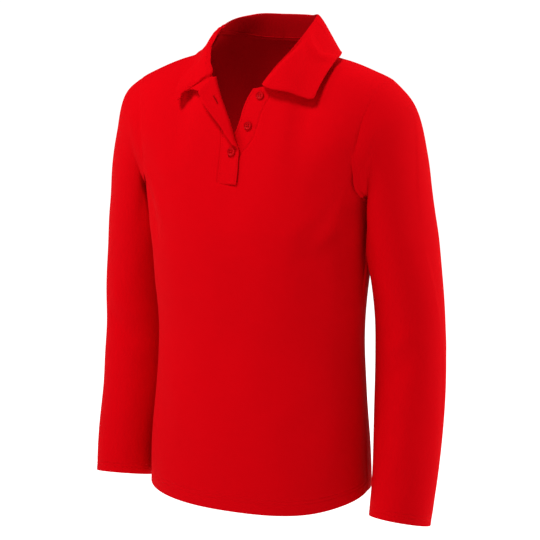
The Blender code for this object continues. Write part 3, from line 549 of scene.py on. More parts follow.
def clear_of_form(points, places, least):
    """Points of the leaf moved outwards where they are closer to the torso form than least."""
    side = np.where(points[..., 1] < FRONT_EDGE_Y, -1, 1)
    push = np.zeros_like(points)
    for facing in (-1, 1):
        place = torso_place(facing, points[..., 0], points[..., 2])
        under = torso_point(facing, *place)
        out = torso_normal(facing, *place)
        height = ((points - under) * out).sum(axis=-1)
        push += out * np.where((side == facing) & (height < least), least - height, 0.0)[..., None]
    spread = np.exp(-((places[:, None] - places) / CLEAR_BLUR) ** 2)
    return points + np.einsum("ij,jkl->ikl", spread / spread.sum(axis=1, keepdims=True), push)


def collar_grid(places, stand_points, fall_points):
    """The collar's showing skin, at each place from the neckline over the roll to the outer edge."""
    rows = read(COLLAR, places)
    roll, edge = rows[:, :3], rows[:, 3:]
    neck = np.array([neck_point(place) for place in places])
    neck = neck + unit(roll - neck) * COLLAR_SEAT + np.array([0.0, 0.0, COLLAR_SEAT / 2])
    rise, drop = roll - neck, edge - roll
    rise_length = np.linalg.norm(rise, axis=-1, keepdims=True)
    drop_length = np.linalg.norm(drop, axis=-1, keepdims=True)
    over = unit(rise / rise_length + drop / drop_length)
    rise_pull = over * np.minimum(np.sqrt(ROLL_RADIUS * STAND_PULL * rise_length),
                                  LONGEST_PULL * rise_length)
    drop_pull = over * np.minimum(np.sqrt(ROLL_RADIUS * read(FALL_PULL, places) * drop_length),
                                  LONGEST_PULL * drop_length)
    up = 1 - (1 - np.linspace(0, 1, stand_points + 1)) ** STAND_CROWD
    down = np.linspace(0, 1, fall_points + 1)[1:] ** FALL_CROWD
    stand = hermite(neck, roll, rise, rise_pull, up)
    near_end = np.clip((np.abs(places) - 1) / POINT_REACH + 1, 0, 1)
    shorter = POINT_ROUND * (1 - np.sqrt(1 - near_end**2))
    fall = hermite(roll, edge, drop_pull, drop, down * (1 - shorter[:, None]))
    for hand, last, before in ((-1, 0, 1), (1, -1, -2)):
        onward = unit(fall[last] - fall[before])
        bow = BELLY[hand] * np.clip((places * hand - 1) / BELLY_REACH + 1, 0, 1) ** 2
        fall = fall + onward * (bow[:, None] * np.sin(np.pi * down))[..., None]
    least = read(COLLAR_CLEAR, places) * np.minimum(down / CLEAR_FROM, 1)
    return np.concatenate([stand, clear_of_form(fall, places, least)], axis=1)


# ---------------------------------------------------------------- cloth, its thickness and its seams
JERSEY = 0.0010  # a single layer of knit
HEM_LAYERS = 0.0019  # a turned-up hem
BAND_LAYERS = 0.0018
COLLAR_LAYERS = 0.0021
BODY_HEM = 0.0200  # from the edge up to the upper row of stitches
CUFF_HEM = 0.0130
HEM_ROWS_APART = 0.0048  # between the two rows of a hem
SEAM_DIP = 0.0004  # how far cloth sinks at a seam
SEAM_REACH = 0.0022
STITCH_DIP = 0.00035  # how far thread pulls a hem in
STITCH_REACH = 0.0011
STITCH_LENGTH = 0.0026
STITCH_GAP = 0.0007
THREAD = 0.00019  # radius of sewing thread
TUCK = 0.0040  # how far the sleeve reaches in under the edge of the body
UNDER_REACH = 0.0022  # how far a panel reaches in under the piece beside it
UNDER_DEPTH = 0.0021

# Creases on the body, each a soft ridge, or a trough where the height is below 0.
# side, x and z where it starts, x and z where it ends, width, height
BODY_CREASES = (
    (-1, 0.140, -0.165, 0.146, -0.335, 0.0340, -0.0075),
    (-1, -0.142, -0.175, -0.146, -0.330, 0.0300, -0.0035),
    (-1, 0.158, -0.205, 0.098, -0.292, 0.0120, -0.0034),
    (-1, 0.150, -0.178, 0.078, -0.262, 0.0150, 0.0022),
    (-1, 0.160, -0.240, 0.120, -0.352, 0.0150, 0.0024),
    (-1, -0.160, -0.208, -0.128, -0.284, 0.0090, -0.0028),
    (-1, -0.153, -0.186, -0.112, -0.262, 0.0110, 0.0018),
    (-1, -0.158, -0.255, -0.132, -0.352, 0.0120, 0.0016),
    (-1, 0.124, -0.430, 0.060, -0.520, 0.0200, 0.0011),
    (-1, -0.128, -0.440, -0.078, -0.560, 0.0220, 0.0010),
    (-1, 0.020, -0.225, 0.052, -0.330, 0.0200, 0.0008),
    (1, 0.160, -0.210, 0.088, -0.300, 0.0130, -0.0030),
    (1, 0.156, -0.182, 0.080, -0.250, 0.0140, 0.0020),
    (1, -0.160, -0.212, -0.098, -0.286, 0.0120, -0.0027),
    (1, -0.154, -0.185, -0.070, -0.242, 0.0150, 0.0018),
    (1, 0.118, -0.400, 0.030, -0.448, 0.0160, 0.0019),
    (1, -0.126, -0.412, -0.040, -0.474, 0.0180, 0.0016),
    (1, 0.108, -0.452, 0.044, -0.520, 0.0190, 0.0012),
    (1, -0.016, -0.112, 0.010, -0.214, 0.0240, 0.0009),
)
# Creases on a sleeve. place and angle where it starts and ends, width, height
SLEEVE_CREASES = {
    1: (
        (0.10, 132, 0.27, 96, 0.0110, -0.0024),
        (0.17, 150, 0.36, 118, 0.0130, 0.0020),
        (0.50, 62, 0.57, 128, 0.0120, 0.0017),
        (0.55, 58, 0.64, 118, 0.0120, -0.0013),
        (0.47, 262, 0.56, 322, 0.0150, 0.0014),
        (0.10, 232, 0.30, 262, 0.0130, -0.0022),
        (0.74, 75, 0.90, 108, 0.0150, 0.0009),
    ),
    -1: (
        (0.10, 128, 0.26, 92, 0.0100, -0.0022),
        (0.18, 146, 0.34, 112, 0.0130, 0.0018),
        (0.46, 56, 0.55, 124, 0.0130, 0.0019),
        (0.53, 50, 0.62, 122, 0.0110, -0.0015),
        (0.60, 66, 0.68, 120, 0.0120, 0.0012),
        (0.50, 250, 0.58, 318, 0.0140, 0.0015),
        (0.11, 236, 0.31, 268, 0.0120, -0.0020),
    ),
}
# Slow unevenness of hanging cloth: size of the wave across and along, turn of the wave, height
SWELLS = (
    (0.21, 0.33, 0.7, 0.0007),
    (0.12, 0.27, 2.1, 0.0005),
    (0.075, 0.19, 4.0, 0.0003),
)
SWELL_SHIFT = 0.05  # sets the front's waves apart from the back's
CREASE_BOW = 0.10  # how far a crease bows sideways, as a share of its length
CREASE_PAST = 0.25  # how far it goes on past both ends
CREASE_GROW = 0.45  # over how much of its length it grows
CREASE_DIE = 0.60  # and over how much it dies away
CALM_OVER_HEM = 0.050  # the body's creases fade out in the last of the way down to the hem
CALM_TOP = -0.055  # and are gone above this level
CALM_TOP_RUN = 0.060
PLACKET_CALM_HALF = 0.030  # they fade out towards the placket too
PLACKET_CALM_LEVEL = -0.235
PLACKET_CALM_RUN = 0.025
HEM_STEP = 0.0025  # over how much of the cloth the thickness of a hem fades


def smooth(share):
    share = np.clip(share, 0.0, 1.0)
    return share * share * (3 - 2 * share)


def bell(distance, width):
    return np.exp(-(distance / width) ** 2)


def crease(u, v, start, end, width, height):
    """A soft ridge along a line, fading out towards both ends."""
    start, end = np.array(start, float), np.array(end, float)
    way = end - start
    length = np.linalg.norm(way)
    way = way / length
    along = ((u - start[0]) * way[0] + (v - start[1]) * way[1]) / length
    across = (u - start[0]) * -way[1] + (v - start[1]) * way[0]
    bow = CREASE_BOW * length * np.sin(np.pi * np.clip(along, 0, 1))
    fade = smooth((along + CREASE_PAST) / CREASE_GROW) * smooth((1 + CREASE_PAST - along) / CREASE_DIE)
    return height * bell(across - bow, width) * fade


def swell(u, v):
    total = 0.0
    for across, along, turn, height in SWELLS:
        total = total + height * np.sin(u / across * 2 * np.pi + turn) * np.cos(v / along * 2 * np.pi - turn)
    return total


def hem_dip(distance, upper):
    """The two sunk lines of a hem's stitches, at a distance from the edge."""
    rows = bell(distance - upper, STITCH_REACH) + bell(distance - upper + HEM_ROWS_APART, STITCH_REACH)
    return -STITCH_DIP * rows


def from_hem(side, points):
    """Height of points of the body over its hem, which isn't level all round."""
    share = np.clip(points[..., 0] / TORSO[0][1], -1, 1)
    turn = np.degrees(np.arcsin(np.sign(share) * power(np.abs(share), TORSO[0][5] / 2)))
    lift = read(HEM_LIFT, turn)[..., 0 if side < 0 else 1]
    level = points[..., 2] - HEM_LEVEL
    return level - lift * np.clip(1 - level / (BUST_LEVEL - HEM_LEVEL), 0, 1) ** 2


def body_relief(side, points):
    """How far the body's cloth stands off its form."""
    x, z = points[..., 0], points[..., 2]
    total = swell(x + SWELL_SHIFT * side, z)
    for facing, x0, z0, x1, z1, width, height in BODY_CREASES:
        if facing == side:
            total = total + crease(x, z, (x0, z0), (x1, z1), width, height)
    total = total * smooth((z - HEM_LEVEL) / CALM_OVER_HEM) * smooth((CALM_TOP - z) / CALM_TOP_RUN)
    band_middle = (OVER_BAND[0][1] + OVER_BAND[0][2]) / 2
    calm = bell(x - band_middle, PLACKET_CALM_HALF) * smooth((z - PLACKET_CALM_LEVEL) / PLACKET_CALM_RUN)
    total = total * (1 - calm * (side < 0))
    return total + hem_dip(from_hem(side, points), BODY_HEM)


def body_skin(side, turn, rise):
    """The outer face of the front (-1) or the back (1), with its creases, and its directions."""
    points = torso_point(side, turn, rise)
    out = torso_normal(side, turn, rise)
    return points + out * body_relief(side, points)[..., None], out


def wall_depth(distance, hem):
    """Thickness of the cloth, more where the hem is turned up."""
    return JERSEY + (HEM_LAYERS - JERSEY) * smooth((hem + HEM_STEP - distance) / HEM_STEP)


def step_lengths(points, axis):
    steps = np.linalg.norm(np.diff(points, axis=axis), axis=-1)
    start = np.zeros_like(np.take(steps, [0], axis=axis))
    return np.concatenate([start, np.cumsum(steps, axis=axis)], axis=axis)


# ---------------------------------------------------------------- meshes
def corner_grid(rows, columns, closed):
    """Numbers of the four corners of each face of a grid, and their places on its map."""
    row, column = np.meshgrid(np.arange(rows - 1), np.arange(columns if closed else columns - 1),
                              indexing="ij")
    row, column = row.ravel(), column.ravel()
    right = (column + 1) % columns
    faces = np.stack([row * columns + column, row * columns + right,
                      (row + 1) * columns + right, (row + 1) * columns + column], axis=1)
    wide = columns + 1 if closed else columns
    places = np.stack([row * wide + column, row * wide + column + 1,
                       (row + 1) * wide + column + 1, (row + 1) * wide + column], axis=1)
    return faces, places


def make_object(name, points, faces, material, places=None, shades=None):
    """A smooth mesh. For every corner of every face, places holds the cut's coordinates in metres
    and shades holds its painted shade, from 0 for none to 1 for the full dark colour."""
    mesh = bpy.data.meshes.new(name)
    mesh.from_pydata(points.tolist(), [], faces)
    if places is not None:
        cut = mesh.uv_layers.new(name="Cut")
        cut.uv.foreach_set("vector", places.astype(np.float32).ravel())
        inside = mesh.uv_layers.new(name="Inside")
        doubled = np.stack([shades, shades], axis=-1)
        inside.uv.foreach_set("vector", doubled.astype(np.float32).ravel())
    mesh.shade_smooth()
    mesh.update()
    mesh.materials.append(material)
    item = bpy.data.objects.new(name, mesh)
    bpy.context.scene.collection.objects.link(item)
    return item


RIM_TURNS = (math.radians(45), math.radians(90), math.radians(135))
RIM_FULLNESS = 0.9
RIM_SHADES = (0.1, 0.5, 0.9)  # how much of the inner face's painted shade each bend of a rim takes
WELD_DIGITS = 6  # points that agree to this many digits of a metre are one


def joined_skins(skins):
    """The faces of all skins with their places on the cut, and for each point its place, outward
    direction and depth, and its painted shade on the outer and the inner face."""
    points, normals, depths, faces, corner_places, shades, inner_shades = [], [], [], [], [], [], []
    count = 0
    for skin in skins:
        rows, columns = skin["points"].shape[:2]
        grid_faces, grid_places = corner_grid(rows, columns, skin.get("closed", False))
        corners = skin["points"].reshape(-1, 3)[grid_faces]
        facing = np.cross(corners[:, 2] - corners[:, 0], corners[:, 3] - corners[:, 1])
        if (facing * skin["out"].reshape(-1, 3)[grid_faces[:, 0]]).sum() < 0:
            grid_faces, grid_places = grid_faces[:, ::-1], grid_places[:, ::-1]
        faces.append(grid_faces + count)
        corner_places.append(skin["map"].reshape(-1, 2)[grid_places])
        points.append(skin["points"].reshape(-1, 3))
        normals.append(skin["out"].reshape(-1, 3))
        depths.append(np.broadcast_to(skin["depth"], (rows, columns)).ravel())
        shades.append(np.broadcast_to(skin["shade"], (rows, columns)).ravel())
        inner_shades.append(np.full(rows * columns, skin["inner_shade"]))
        count += rows * columns
    points, normals, depths = np.concatenate(points), np.concatenate(normals), np.concatenate(depths)
    shades, inner_shades = np.concatenate(shades), np.concatenate(inner_shades)
    faces, corner_places = np.concatenate(faces), np.concatenate(corner_places)
    rounded = np.round(points, WELD_DIGITS) + 0.0
    first, index = np.unique(rounded, axis=0, return_index=True, return_inverse=True)[1:]
    index = index.ravel()
    points, depths, shades, inner_shades = points[first], depths[first], shades[first], inner_shades[first]
    summed = np.zeros_like(points)
    np.add.at(summed, index, normals)
    normals = unit(summed)
    faces = index[faces]
    whole = np.array([len(set(face)) == 4 for face in faces.tolist()])
    faces, corner_places = faces[whole], corner_places[whole]
    used, faces = np.unique(faces, return_inverse=True)
    return (faces.reshape(-1, 4), corner_places, points[used], normals[used], depths[used], shades[used],
            inner_shades[used])


def make_cloth(name, skins, material):
    """A closed shell with round edges, from skins that each give points, outward directions, depth,
    the place of each point on the cut, and how much painted shade the outer and the inner
    face have. Skins that share an edge are joined."""
    faces, corner_places, points, normals, depths, shades, inner_shades = joined_skins(skins)
    total = len(points)
    inner = points - normals * depths[:, None]
    starts, ends = faces.ravel(), np.roll(faces, -1, axis=1).ravel()
    low, high = np.minimum(starts, ends), np.maximum(starts, ends)
    code = low * total + high
    kinds, uses = np.unique(code, return_counts=True)
    single = np.isin(code, kinds[uses == 1])
    centre = np.repeat(points[faces].mean(axis=1), 4, axis=0)[single]
    rim_start, rim_end = starts[single], ends[single]
    rim_places = corner_places.reshape(-1, 2)[single]
    next_places = np.roll(corner_places, -1, axis=1).reshape(-1, 2)[single]
    off = np.zeros_like(points)
    middle = (points[rim_start] + points[rim_end]) / 2
    np.add.at(off, rim_start, unit(middle - centre))
    np.add.at(off, rim_end, unit(middle - centre))
    off = off - normals * (off * normals).sum(axis=-1, keepdims=True)
    off = unit(off)
    rim = np.unique(np.concatenate([rim_start, rim_end]))
    place = np.full(total, -1)
    place[rim] = np.arange(len(rim))
    half = depths[rim, None] / 2
    bends = [points[rim] - normals[rim] * half * (1 - np.cos(turn))
             + off[rim] * half * np.sin(turn) * RIM_FULLNESS for turn in RIM_TURNS]
    levels = [np.arange(total), *[2 * total + k * len(rim) + place for k in range(len(bends))],
              np.arange(total) + total]
    rim_faces = [np.stack([high[rim_end], high[rim_start], low[rim_start], low[rim_end]], axis=1)
                 for high, low in zip(levels[:-1], levels[1:])]
    rim_map = np.stack([next_places, rim_places, rim_places, next_places], axis=1)
    all_points = np.concatenate([points, inner, *bends])
    all_faces = np.concatenate([faces, faces[:, ::-1] + total, *rim_faces])
    all_places = np.concatenate([corner_places, corner_places[:, ::-1], *[rim_map] * len(rim_faces)])
    rim_shades = [np.maximum(shades[rim], inner_shades[rim] * share) for share in RIM_SHADES]
    all_shades = np.concatenate([shades, inner_shades, *rim_shades])[all_faces]
    return make_object(name, all_points, all_faces.tolist(), material, all_places, all_shades)


# A stitch is a thread of six sides. Along it, the share of its length, thickness and height.
STITCH_TURNS = np.radians([30, 90, 150, 210, 270, 330])
STITCH_SHARES = np.array([0.0, 0.18, 0.5, 0.82, 1.0])
STITCH_THICK = np.array([0.45, 0.95, 1.0, 0.95, 0.45])
STITCH_HIGH = np.array([-0.9, 0.25, 0.55, 0.25, -0.9])


def stitch_mesh(name, runs, material, length=STITCH_LENGTH, gap=STITCH_GAP, radius=THREAD):
    """Rows of sewing stitches as one mesh. Each run is a line of points and outward directions."""
    points, faces = [], []
    count = 0
    sides = len(STITCH_TURNS)
    step = len(STITCH_SHARES) * sides
    body = corner_grid(len(STITCH_SHARES), sides, True)[0]
    cosines, sines = np.cos(STITCH_TURNS)[:, None], np.sin(STITCH_TURNS)[:, None]
    for line, out in runs:
        walked = step_lengths(line, 0)
        total = int(walked[-1] / (length + gap))
        pitch = walked[-1] / max(total, 1)
        begins = np.arange(total) * pitch + gap / 2
        at = begins[:, None] + STITCH_SHARES * (pitch - gap)
        centre = np.stack([np.interp(at, walked, line[:, k]) for k in range(3)], axis=-1)
        up = unit(np.stack([np.interp(at, walked, out[:, k]) for k in range(3)], axis=-1))
        way = unit(centre[:, -1:] - centre[:, :1])
        side = unit(np.cross(way, up))
        ring = centre + up * (STITCH_HIGH * radius)[:, None]
        offset = side[:, :, None] * cosines + up[:, :, None] * sines
        rings = ring[:, :, None] + offset * (STITCH_THICK * radius)[:, None, None]
        for number in range(total):
            base = count + number * step
            faces += (body + base).tolist()
            faces.append([base + k for k in range(sides - 1, -1, -1)])
            faces.append([base + step - sides + k for k in range(sides)])
        points.append(rings.reshape(-1, 3))
        count += total * step
    return make_object(name, np.concatenate(points), faces, material)


# ---------------------------------------------------------------- shader helpers
class Value:
    """A number that varies over a surface. Arithmetic on it adds Math nodes."""

    def __init__(self, finish, socket):
        self.finish = finish
        self.socket = socket

    def combine(self, operation, *others):
        sources = [other.socket if isinstance(other, Value) else other for other in others]
        made = self.finish.node("ShaderNodeMath", {"operation": operation}, dict(enumerate(sources)))
        return Value(self.finish, made.outputs[0])

    def __add__(self, other):
        return self.combine("ADD", self, other)

    __radd__ = __add__

    def __sub__(self, other):
        return self.combine("SUBTRACT", self, other)

    def __rsub__(self, other):
        return self.combine("SUBTRACT", other, self)

    def __mul__(self, other):
        return self.combine("MULTIPLY", self, other)

    __rmul__ = __mul__

    def __truediv__(self, other):
        return self.combine("DIVIDE", self, other)

    def __pow__(self, other):
        return self.combine("POWER", self, other)

    def cosine(self):
        return self.combine("COSINE", self)

    def fraction(self):
        return self.combine("FRACT", self)

    def size(self):
        return self.combine("ABSOLUTE", self)

    def held(self):
        return self.combine("MAXIMUM", self.combine("MINIMUM", self, 1.0), 0.0)


class Finish:
    """A material, with one way to add any node."""

    def __init__(self, name):
        self.material = bpy.data.materials.new(name)
        self.material.use_nodes = True
        self.tree = self.material.node_tree
        self.shader = self.tree.nodes["Principled BSDF"]

    def node(self, kind, settings, sockets):
        made = self.tree.nodes.new(kind)
        for setting, value in settings.items():
            setattr(made, setting, value)
        for socket, value in sockets.items():
            self.put(made.inputs[socket], value)
        return made

    def put(self, socket, value):
        value = value.socket if isinstance(value, Value) else value
        if isinstance(value, bpy.types.NodeSocket):
            self.tree.links.new(value, socket)
        else:
            socket.default_value = value

    def value(self, kind, settings, sockets, output=0):
        return Value(self, self.node(kind, settings, sockets).outputs[output])

    def mix(self, share, low, high):
        made = self.node("ShaderNodeMix", {"data_type": "RGBA"}, {"Factor": share})
        self.put(made.inputs[6], low)
        self.put(made.inputs[7], high)
        return made.outputs[2]

    def surface(self, inputs):
        for name, value in inputs.items():
            self.put(self.shader.inputs[name], value)

    def object_place(self):
        return self.node("ShaderNodeTexCoord", {}, {}).outputs["Object"]

    def noise(self, spot, scale, detail=2.0, roughness=0.5):
        sockets = {"Vector": spot, "Scale": scale, "Detail": detail, "Roughness": roughness}
        return self.value("ShaderNodeTexNoise", {}, sockets)

    def bump(self, height, strength, distance):
        sockets = {"Strength": strength, "Distance": distance, "Height": height}
        return self.node("ShaderNodeBump", {}, sockets).outputs[0]


RED = (0.600, 0.0000, 0.0030, 1.0)
RED_DEEP = (0.420, 0.0000, 0.0020, 1.0)
RED_LIGHT = (0.650, 0.0000, 0.0034, 1.0)
RED_PAINTED_SHADE = (0.300, 0.0000, 0.0016, 1.0)  # painted shade: the dark colour that stands in for the shade inside the shirt, on the collar stand's neck side and in the seam turning
SLIT_PAINTED_SHADE = (0.060, 0.0000, 0.0004, 1.0)
BUTTON_RED = (0.520, 0.0000, 0.0026, 1.0)
SHEEN_RED = (1.0, 0.02, 0.03, 1.0)
WALE = 0.0011  # width of one column of knit loops
COURSE = 0.0009
RIB = 0.0024  # width of one rib of the collar


def cut_map(finish):
    """Places on the cut cloth, in metres, across and along."""
    spot = finish.node("ShaderNodeUVMap", {"uv_map": "Cut"}, {})
    parts = finish.node("ShaderNodeSeparateXYZ", {}, {"Vector": spot.outputs["UV"]})
    return Value(finish, parts.outputs["X"]), Value(finish, parts.outputs["Y"]), spot.outputs["UV"]


def knit_height(across, along, wale, course):
    """Columns of V-shaped loops."""
    leg = ((across / wale).fraction() - 0.5).size()
    loops = ((along / course + leg) * (2 * math.pi)).cosine() * 0.5 + 0.5
    columns = (leg * (2 * math.pi)).cosine() * 0.5 + 0.5
    return loops * 0.55 + columns * 0.45


def cloth_finish(name, light, deep, rib=None):
    finish = Finish(name)
    across, along, spot = cut_map(finish)
    # How much painted shade each corner has, from 0 for none to 1 for the full dark colour.
    side = finish.node("ShaderNodeUVMap", {"uv_map": "Inside"}, {})
    inside = finish.value("ShaderNodeSeparateXYZ", {}, {"Vector": side.outputs["UV"]})
    loops = knit_height(across, along, WALE, COURSE)
    fuzz = finish.noise(spot, 900.0, 3.0)
    cloudy = finish.noise(spot, 16.0, 4.0, 0.6)
    height = loops * 0.8 + fuzz * 0.4
    if rib:
        ribs = (across / rib * (2 * math.pi)).cosine() * 0.5 + 0.5
        height = height * 0.5 + ribs ** 0.7 * 1.2
    # Random tone from clouds and fuzz, plus painted shade in the low parts of the knit's loops.
    tone_and_loop_shade = (loops * 0.35 + fuzz * 0.25 + cloudy * 0.75 - 0.15).held()
    outer = finish.mix(tone_and_loop_shade, deep, light)
    # Painted shade: the dark shade colour is mixed in by the shade map.
    finish.surface({"Base Color": finish.mix(inside, outer, RED_PAINTED_SHADE), "Roughness": cloudy * 0.16 + 0.78,
                    "Normal": finish.bump(height, 0.35, 0.00035), "Specular IOR Level": 0.02,
                    "Sheen Weight": 0.10, "Sheen Roughness": 0.45, "Sheen Tint": SHEEN_RED})
    return finish.material


def thread_finish():
    finish = Finish("sewing_thread")
    twist = finish.noise(finish.object_place(), 2600.0)
    finish.surface({"Base Color": finish.mix(twist, RED, RED_LIGHT), "Roughness": twist * 0.2 + 0.5,
                    "Normal": finish.bump(twist, 0.4, 0.0001), "Specular IOR Level": 0.05})
    return finish.material


def button_finish():
    finish = Finish("button_plastic")
    spot = finish.object_place()
    cloud = finish.noise(spot, 420.0, 3.0)
    fine = finish.noise(spot, 2200.0)
    finish.surface({"Base Color": finish.mix(cloud, RED_DEEP, BUTTON_RED), "Roughness": fine * 0.12 + 0.36,
                    "Normal": finish.bump(fine, 0.08, 0.0001), "Specular IOR Level": 0.04})
    return finish.material


# The slit of a buttonhole: nearly black, painted shade for the cut through the band.
def slit_shade_finish():
    finish = Finish("buttonhole_slit")
    fuzz = finish.noise(finish.object_place(), 1500.0)
    finish.surface({"Base Color": finish.mix(fuzz, SLIT_PAINTED_SHADE, RED_PAINTED_SHADE), "Roughness": fuzz * 0.2 + 0.75,
                    "Specular IOR Level": 0.02})
    return finish.material


cloth = cloth_finish("jersey", RED_LIGHT, RED)
slit_shade = slit_shade_finish()
collar_cloth = cloth_finish("collar_knit", RED_LIGHT, RED, RIB)
thread = thread_finish()
button_plastic = button_finish()


# ---------------------------------------------------------------- body
HEM_FINE = 0.026  # height of the closely spaced rows at the hem
ACROSS = np.concatenate([np.linspace(0, 0.03, 5)[:-1], np.linspace(0.03, 0.94, 54)[:-1],
                         np.linspace(0.94, 1, 13)])
SLIT_ROWS = 60
NECK_EDGE_ROWS = 25
LOW_HEIGHTS = np.concatenate([np.linspace(HEM_LEVEL, HEM_LEVEL + HEM_FINE, 27)[:-1],
                              np.linspace(HEM_LEVEL + HEM_FINE, BUST_LEVEL, 104)])
MID_STEPS = 18
SHOULDER_SEAM_X = 0.07  # the shoulder seam's dip starts outside the neck
MIDDLE_COLUMNS = 13  # of the front's middle, between its two halves
HEM_POINTS = 241


def body_half(side, hand):
    """Turn and rise over one half of a panel, and how many of its rows go on across the middle."""
    low_turn, low_rise = torso_place(side, slit_x(side, hand, LOW_HEIGHTS), LOW_HEIGHTS)
    shares = np.concatenate([np.linspace(0, TURN_SHARE, SLIT_ROWS + 1)[:-1],
                             np.linspace(TURN_SHARE, 1, NECK_EDGE_ROWS + 1)])
    high_x, high_z = inner_edge(side, hand, shares)
    high_turn, high_rise = torso_place(side, high_x, high_z)
    mid_z = np.linspace(BUST_LEVEL, high_z[0], MID_STEPS + 1)[1:-1]
    mid_turn, mid_rise = torso_place(side, slit_x(side, hand, mid_z), mid_z)
    outer_rise = armhole_rise(180 * (1 - shares))
    outer_turn = read(ARMHOLE, outer_rise)[..., 0 if side < 0 else 1]
    mid_outer = np.linspace(0, outer_rise[0], MID_STEPS + 1)[1:-1]
    inner_turn = np.concatenate([low_turn, mid_turn, high_turn])
    inner_rise = np.concatenate([low_rise, mid_rise, high_rise])
    plain = len(LOW_HEIGHTS) + MID_STEPS - 1
    outer_turn = np.concatenate([np.full(plain, 90.0), outer_turn])
    outer_rise = np.concatenate([low_rise, mid_outer, outer_rise])
    turn = inner_turn[:, None] + (outer_turn - inner_turn)[:, None] * ACROSS
    rise = inner_rise[:, None] + (outer_rise - inner_rise)[:, None] * ACROSS
    return turn * hand, rise, plain + 1


def body_map(points, hand):
    """Where each point lies on the cut panel."""
    across = step_lengths(points, 1) + np.abs(points[:, :1, 0])
    along = step_lengths(points, 0).mean(axis=1)
    return np.stack([across * hand, np.broadcast_to(along[:, None], across.shape)], axis=-1)


def strip(line, out, offset, places, shade):
    """A narrow strip that goes on from an edge by an offset. Its outer face takes the given painted shade and
    its inner face is painted in full shade.
    """
    shares = np.array([0.0, 0.5, 1.0])[:, None, None]
    return {"points": line + offset * shares, "out": np.broadcast_to(out, (3, *out.shape)), "depth": JERSEY,
            "map": np.broadcast_to(places, (3, *places.shape)), "shade": shade, "inner_shade": 1.0}


def tucked(line, out, way, places):
    """A strip that goes on in under the piece beside it."""
    return strip(line, out, way * UNDER_REACH - out * UNDER_DEPTH, places, 0.0)


def build_body(name, side):
    skins, edges = [], []
    forward, upward = np.array([0.0, -1.0, 0.0]), np.array([0.0, 0.0, 1.0])
    for hand in (-1, 1):
        turn, rise, joined = body_half(side, hand)
        points, out = body_skin(side, turn, rise)
        places = body_map(points, hand)
        from_outer = step_lengths(points[:, ::-1], 1)[:, ::-1]
        from_top = step_lengths(points[::-1], 0)[::-1]
        dip = bell(from_outer, SEAM_REACH)
        dip[-1] = 1.0
        dip = np.maximum(dip, bell(from_top, SEAM_REACH) * (np.abs(points[..., 0]) > SHOULDER_SEAM_X))
        # The panel's inner face is painted in full shade.
        skins.append({"points": points - out * (dip * SEAM_DIP)[..., None], "out": out, "map": places,
                      "depth": wall_depth(from_hem(side, points), BODY_HEM), "shade": 0.0, "inner_shade": 1.0})
        edges.append((turn[:joined, :1], rise[:joined, :1], places[:joined, :1]))
        points = skins[-1]["points"]
        if side < 0:
            slit = slice(joined - 1, joined + SLIT_ROWS)
            inward = np.array([-hand, 0.0, 0.0])
            skins.append(tucked(points[slit, 0], out[slit, 0], inward, places[slit, 0]))
        else:
            skins.append(tucked(points[:joined, -1], out[:joined, -1], forward, places[:joined, -1]))
            skins.append(tucked(points[-1], out[-1], forward, places[-1]))
    if side < 0:
        share = np.linspace(0, 1, MIDDLE_COLUMNS)
        (right_turn, right_rise, right_map), (left_turn, left_rise, left_map) = edges
        points, out = body_skin(side, right_turn + (left_turn - right_turn) * share,
                                right_rise + (left_rise - right_rise) * share)
        places = right_map + (left_map - right_map) * share[:, None]
        # The middle's inner face is painted in full shade too.
        skins.append({"points": points, "out": out, "map": places, "shade": 0.0, "inner_shade": 1.0,
                      "depth": wall_depth(from_hem(side, points), BODY_HEM)})
        skins.append(tucked(points[-1], out[-1], upward, places[-1]))
    return make_cloth(name, skins, cloth)


def hem_line(side, height):
    """A line round the front or the back at a height over the hem, lying on the cloth."""
    turn = np.linspace(-90, 90, HEM_POINTS)
    return body_skin(side, turn, np.full_like(turn, HEM_LEVEL + height - BUST_LEVEL))


def piece(item, node):
    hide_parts(node)
    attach(item, "root")


def sewn(item):
    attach(item, "root")


piece(build_body("front_panel", -1), "front")
piece(build_body("back_panel", 1), "back")
hem_runs = [hem_line(side, height) for side in (-1, 1) for height in (BODY_HEM, BODY_HEM - HEM_ROWS_APART)]
sewn(stitch_mesh("hem_stitches", hem_runs, thread))


# ---------------------------------------------------------------- sleeves
SLEEVE_PLACES = np.concatenate([np.linspace(0, 0.02, 11)[:-1], np.linspace(0.02, 0.955, 168)[:-1],
                                np.linspace(0.955, 1, 28)])
SLEEVE_ANGLES = np.linspace(0, 360, 121)[:-1]
SLEEVE_SHIFT = 0.3  # sets the two sleeves' waves apart
HIDDEN_FROM = 0.35  # a sleeve has no creases where it faces the body, from this cosine
HIDDEN_RUN = 0.4
HIDDEN_END = 0.60  # down to this place
HIDDEN_FADE = 0.15
CALM_OVER_CUFF = 0.050
CALM_UNDER_ARMHOLE = 0.045
ARMHOLE_REACH = 0.0025  # of the dip along the armhole's seam
TUCK_DEPTH = 0.0012
CUFF_PLACES = np.concatenate([SLEEVE_PLACES[:190], np.linspace(0.9, 1, 60)])
CUFF_ANGLES = np.linspace(0, 360, 181)[:-1]


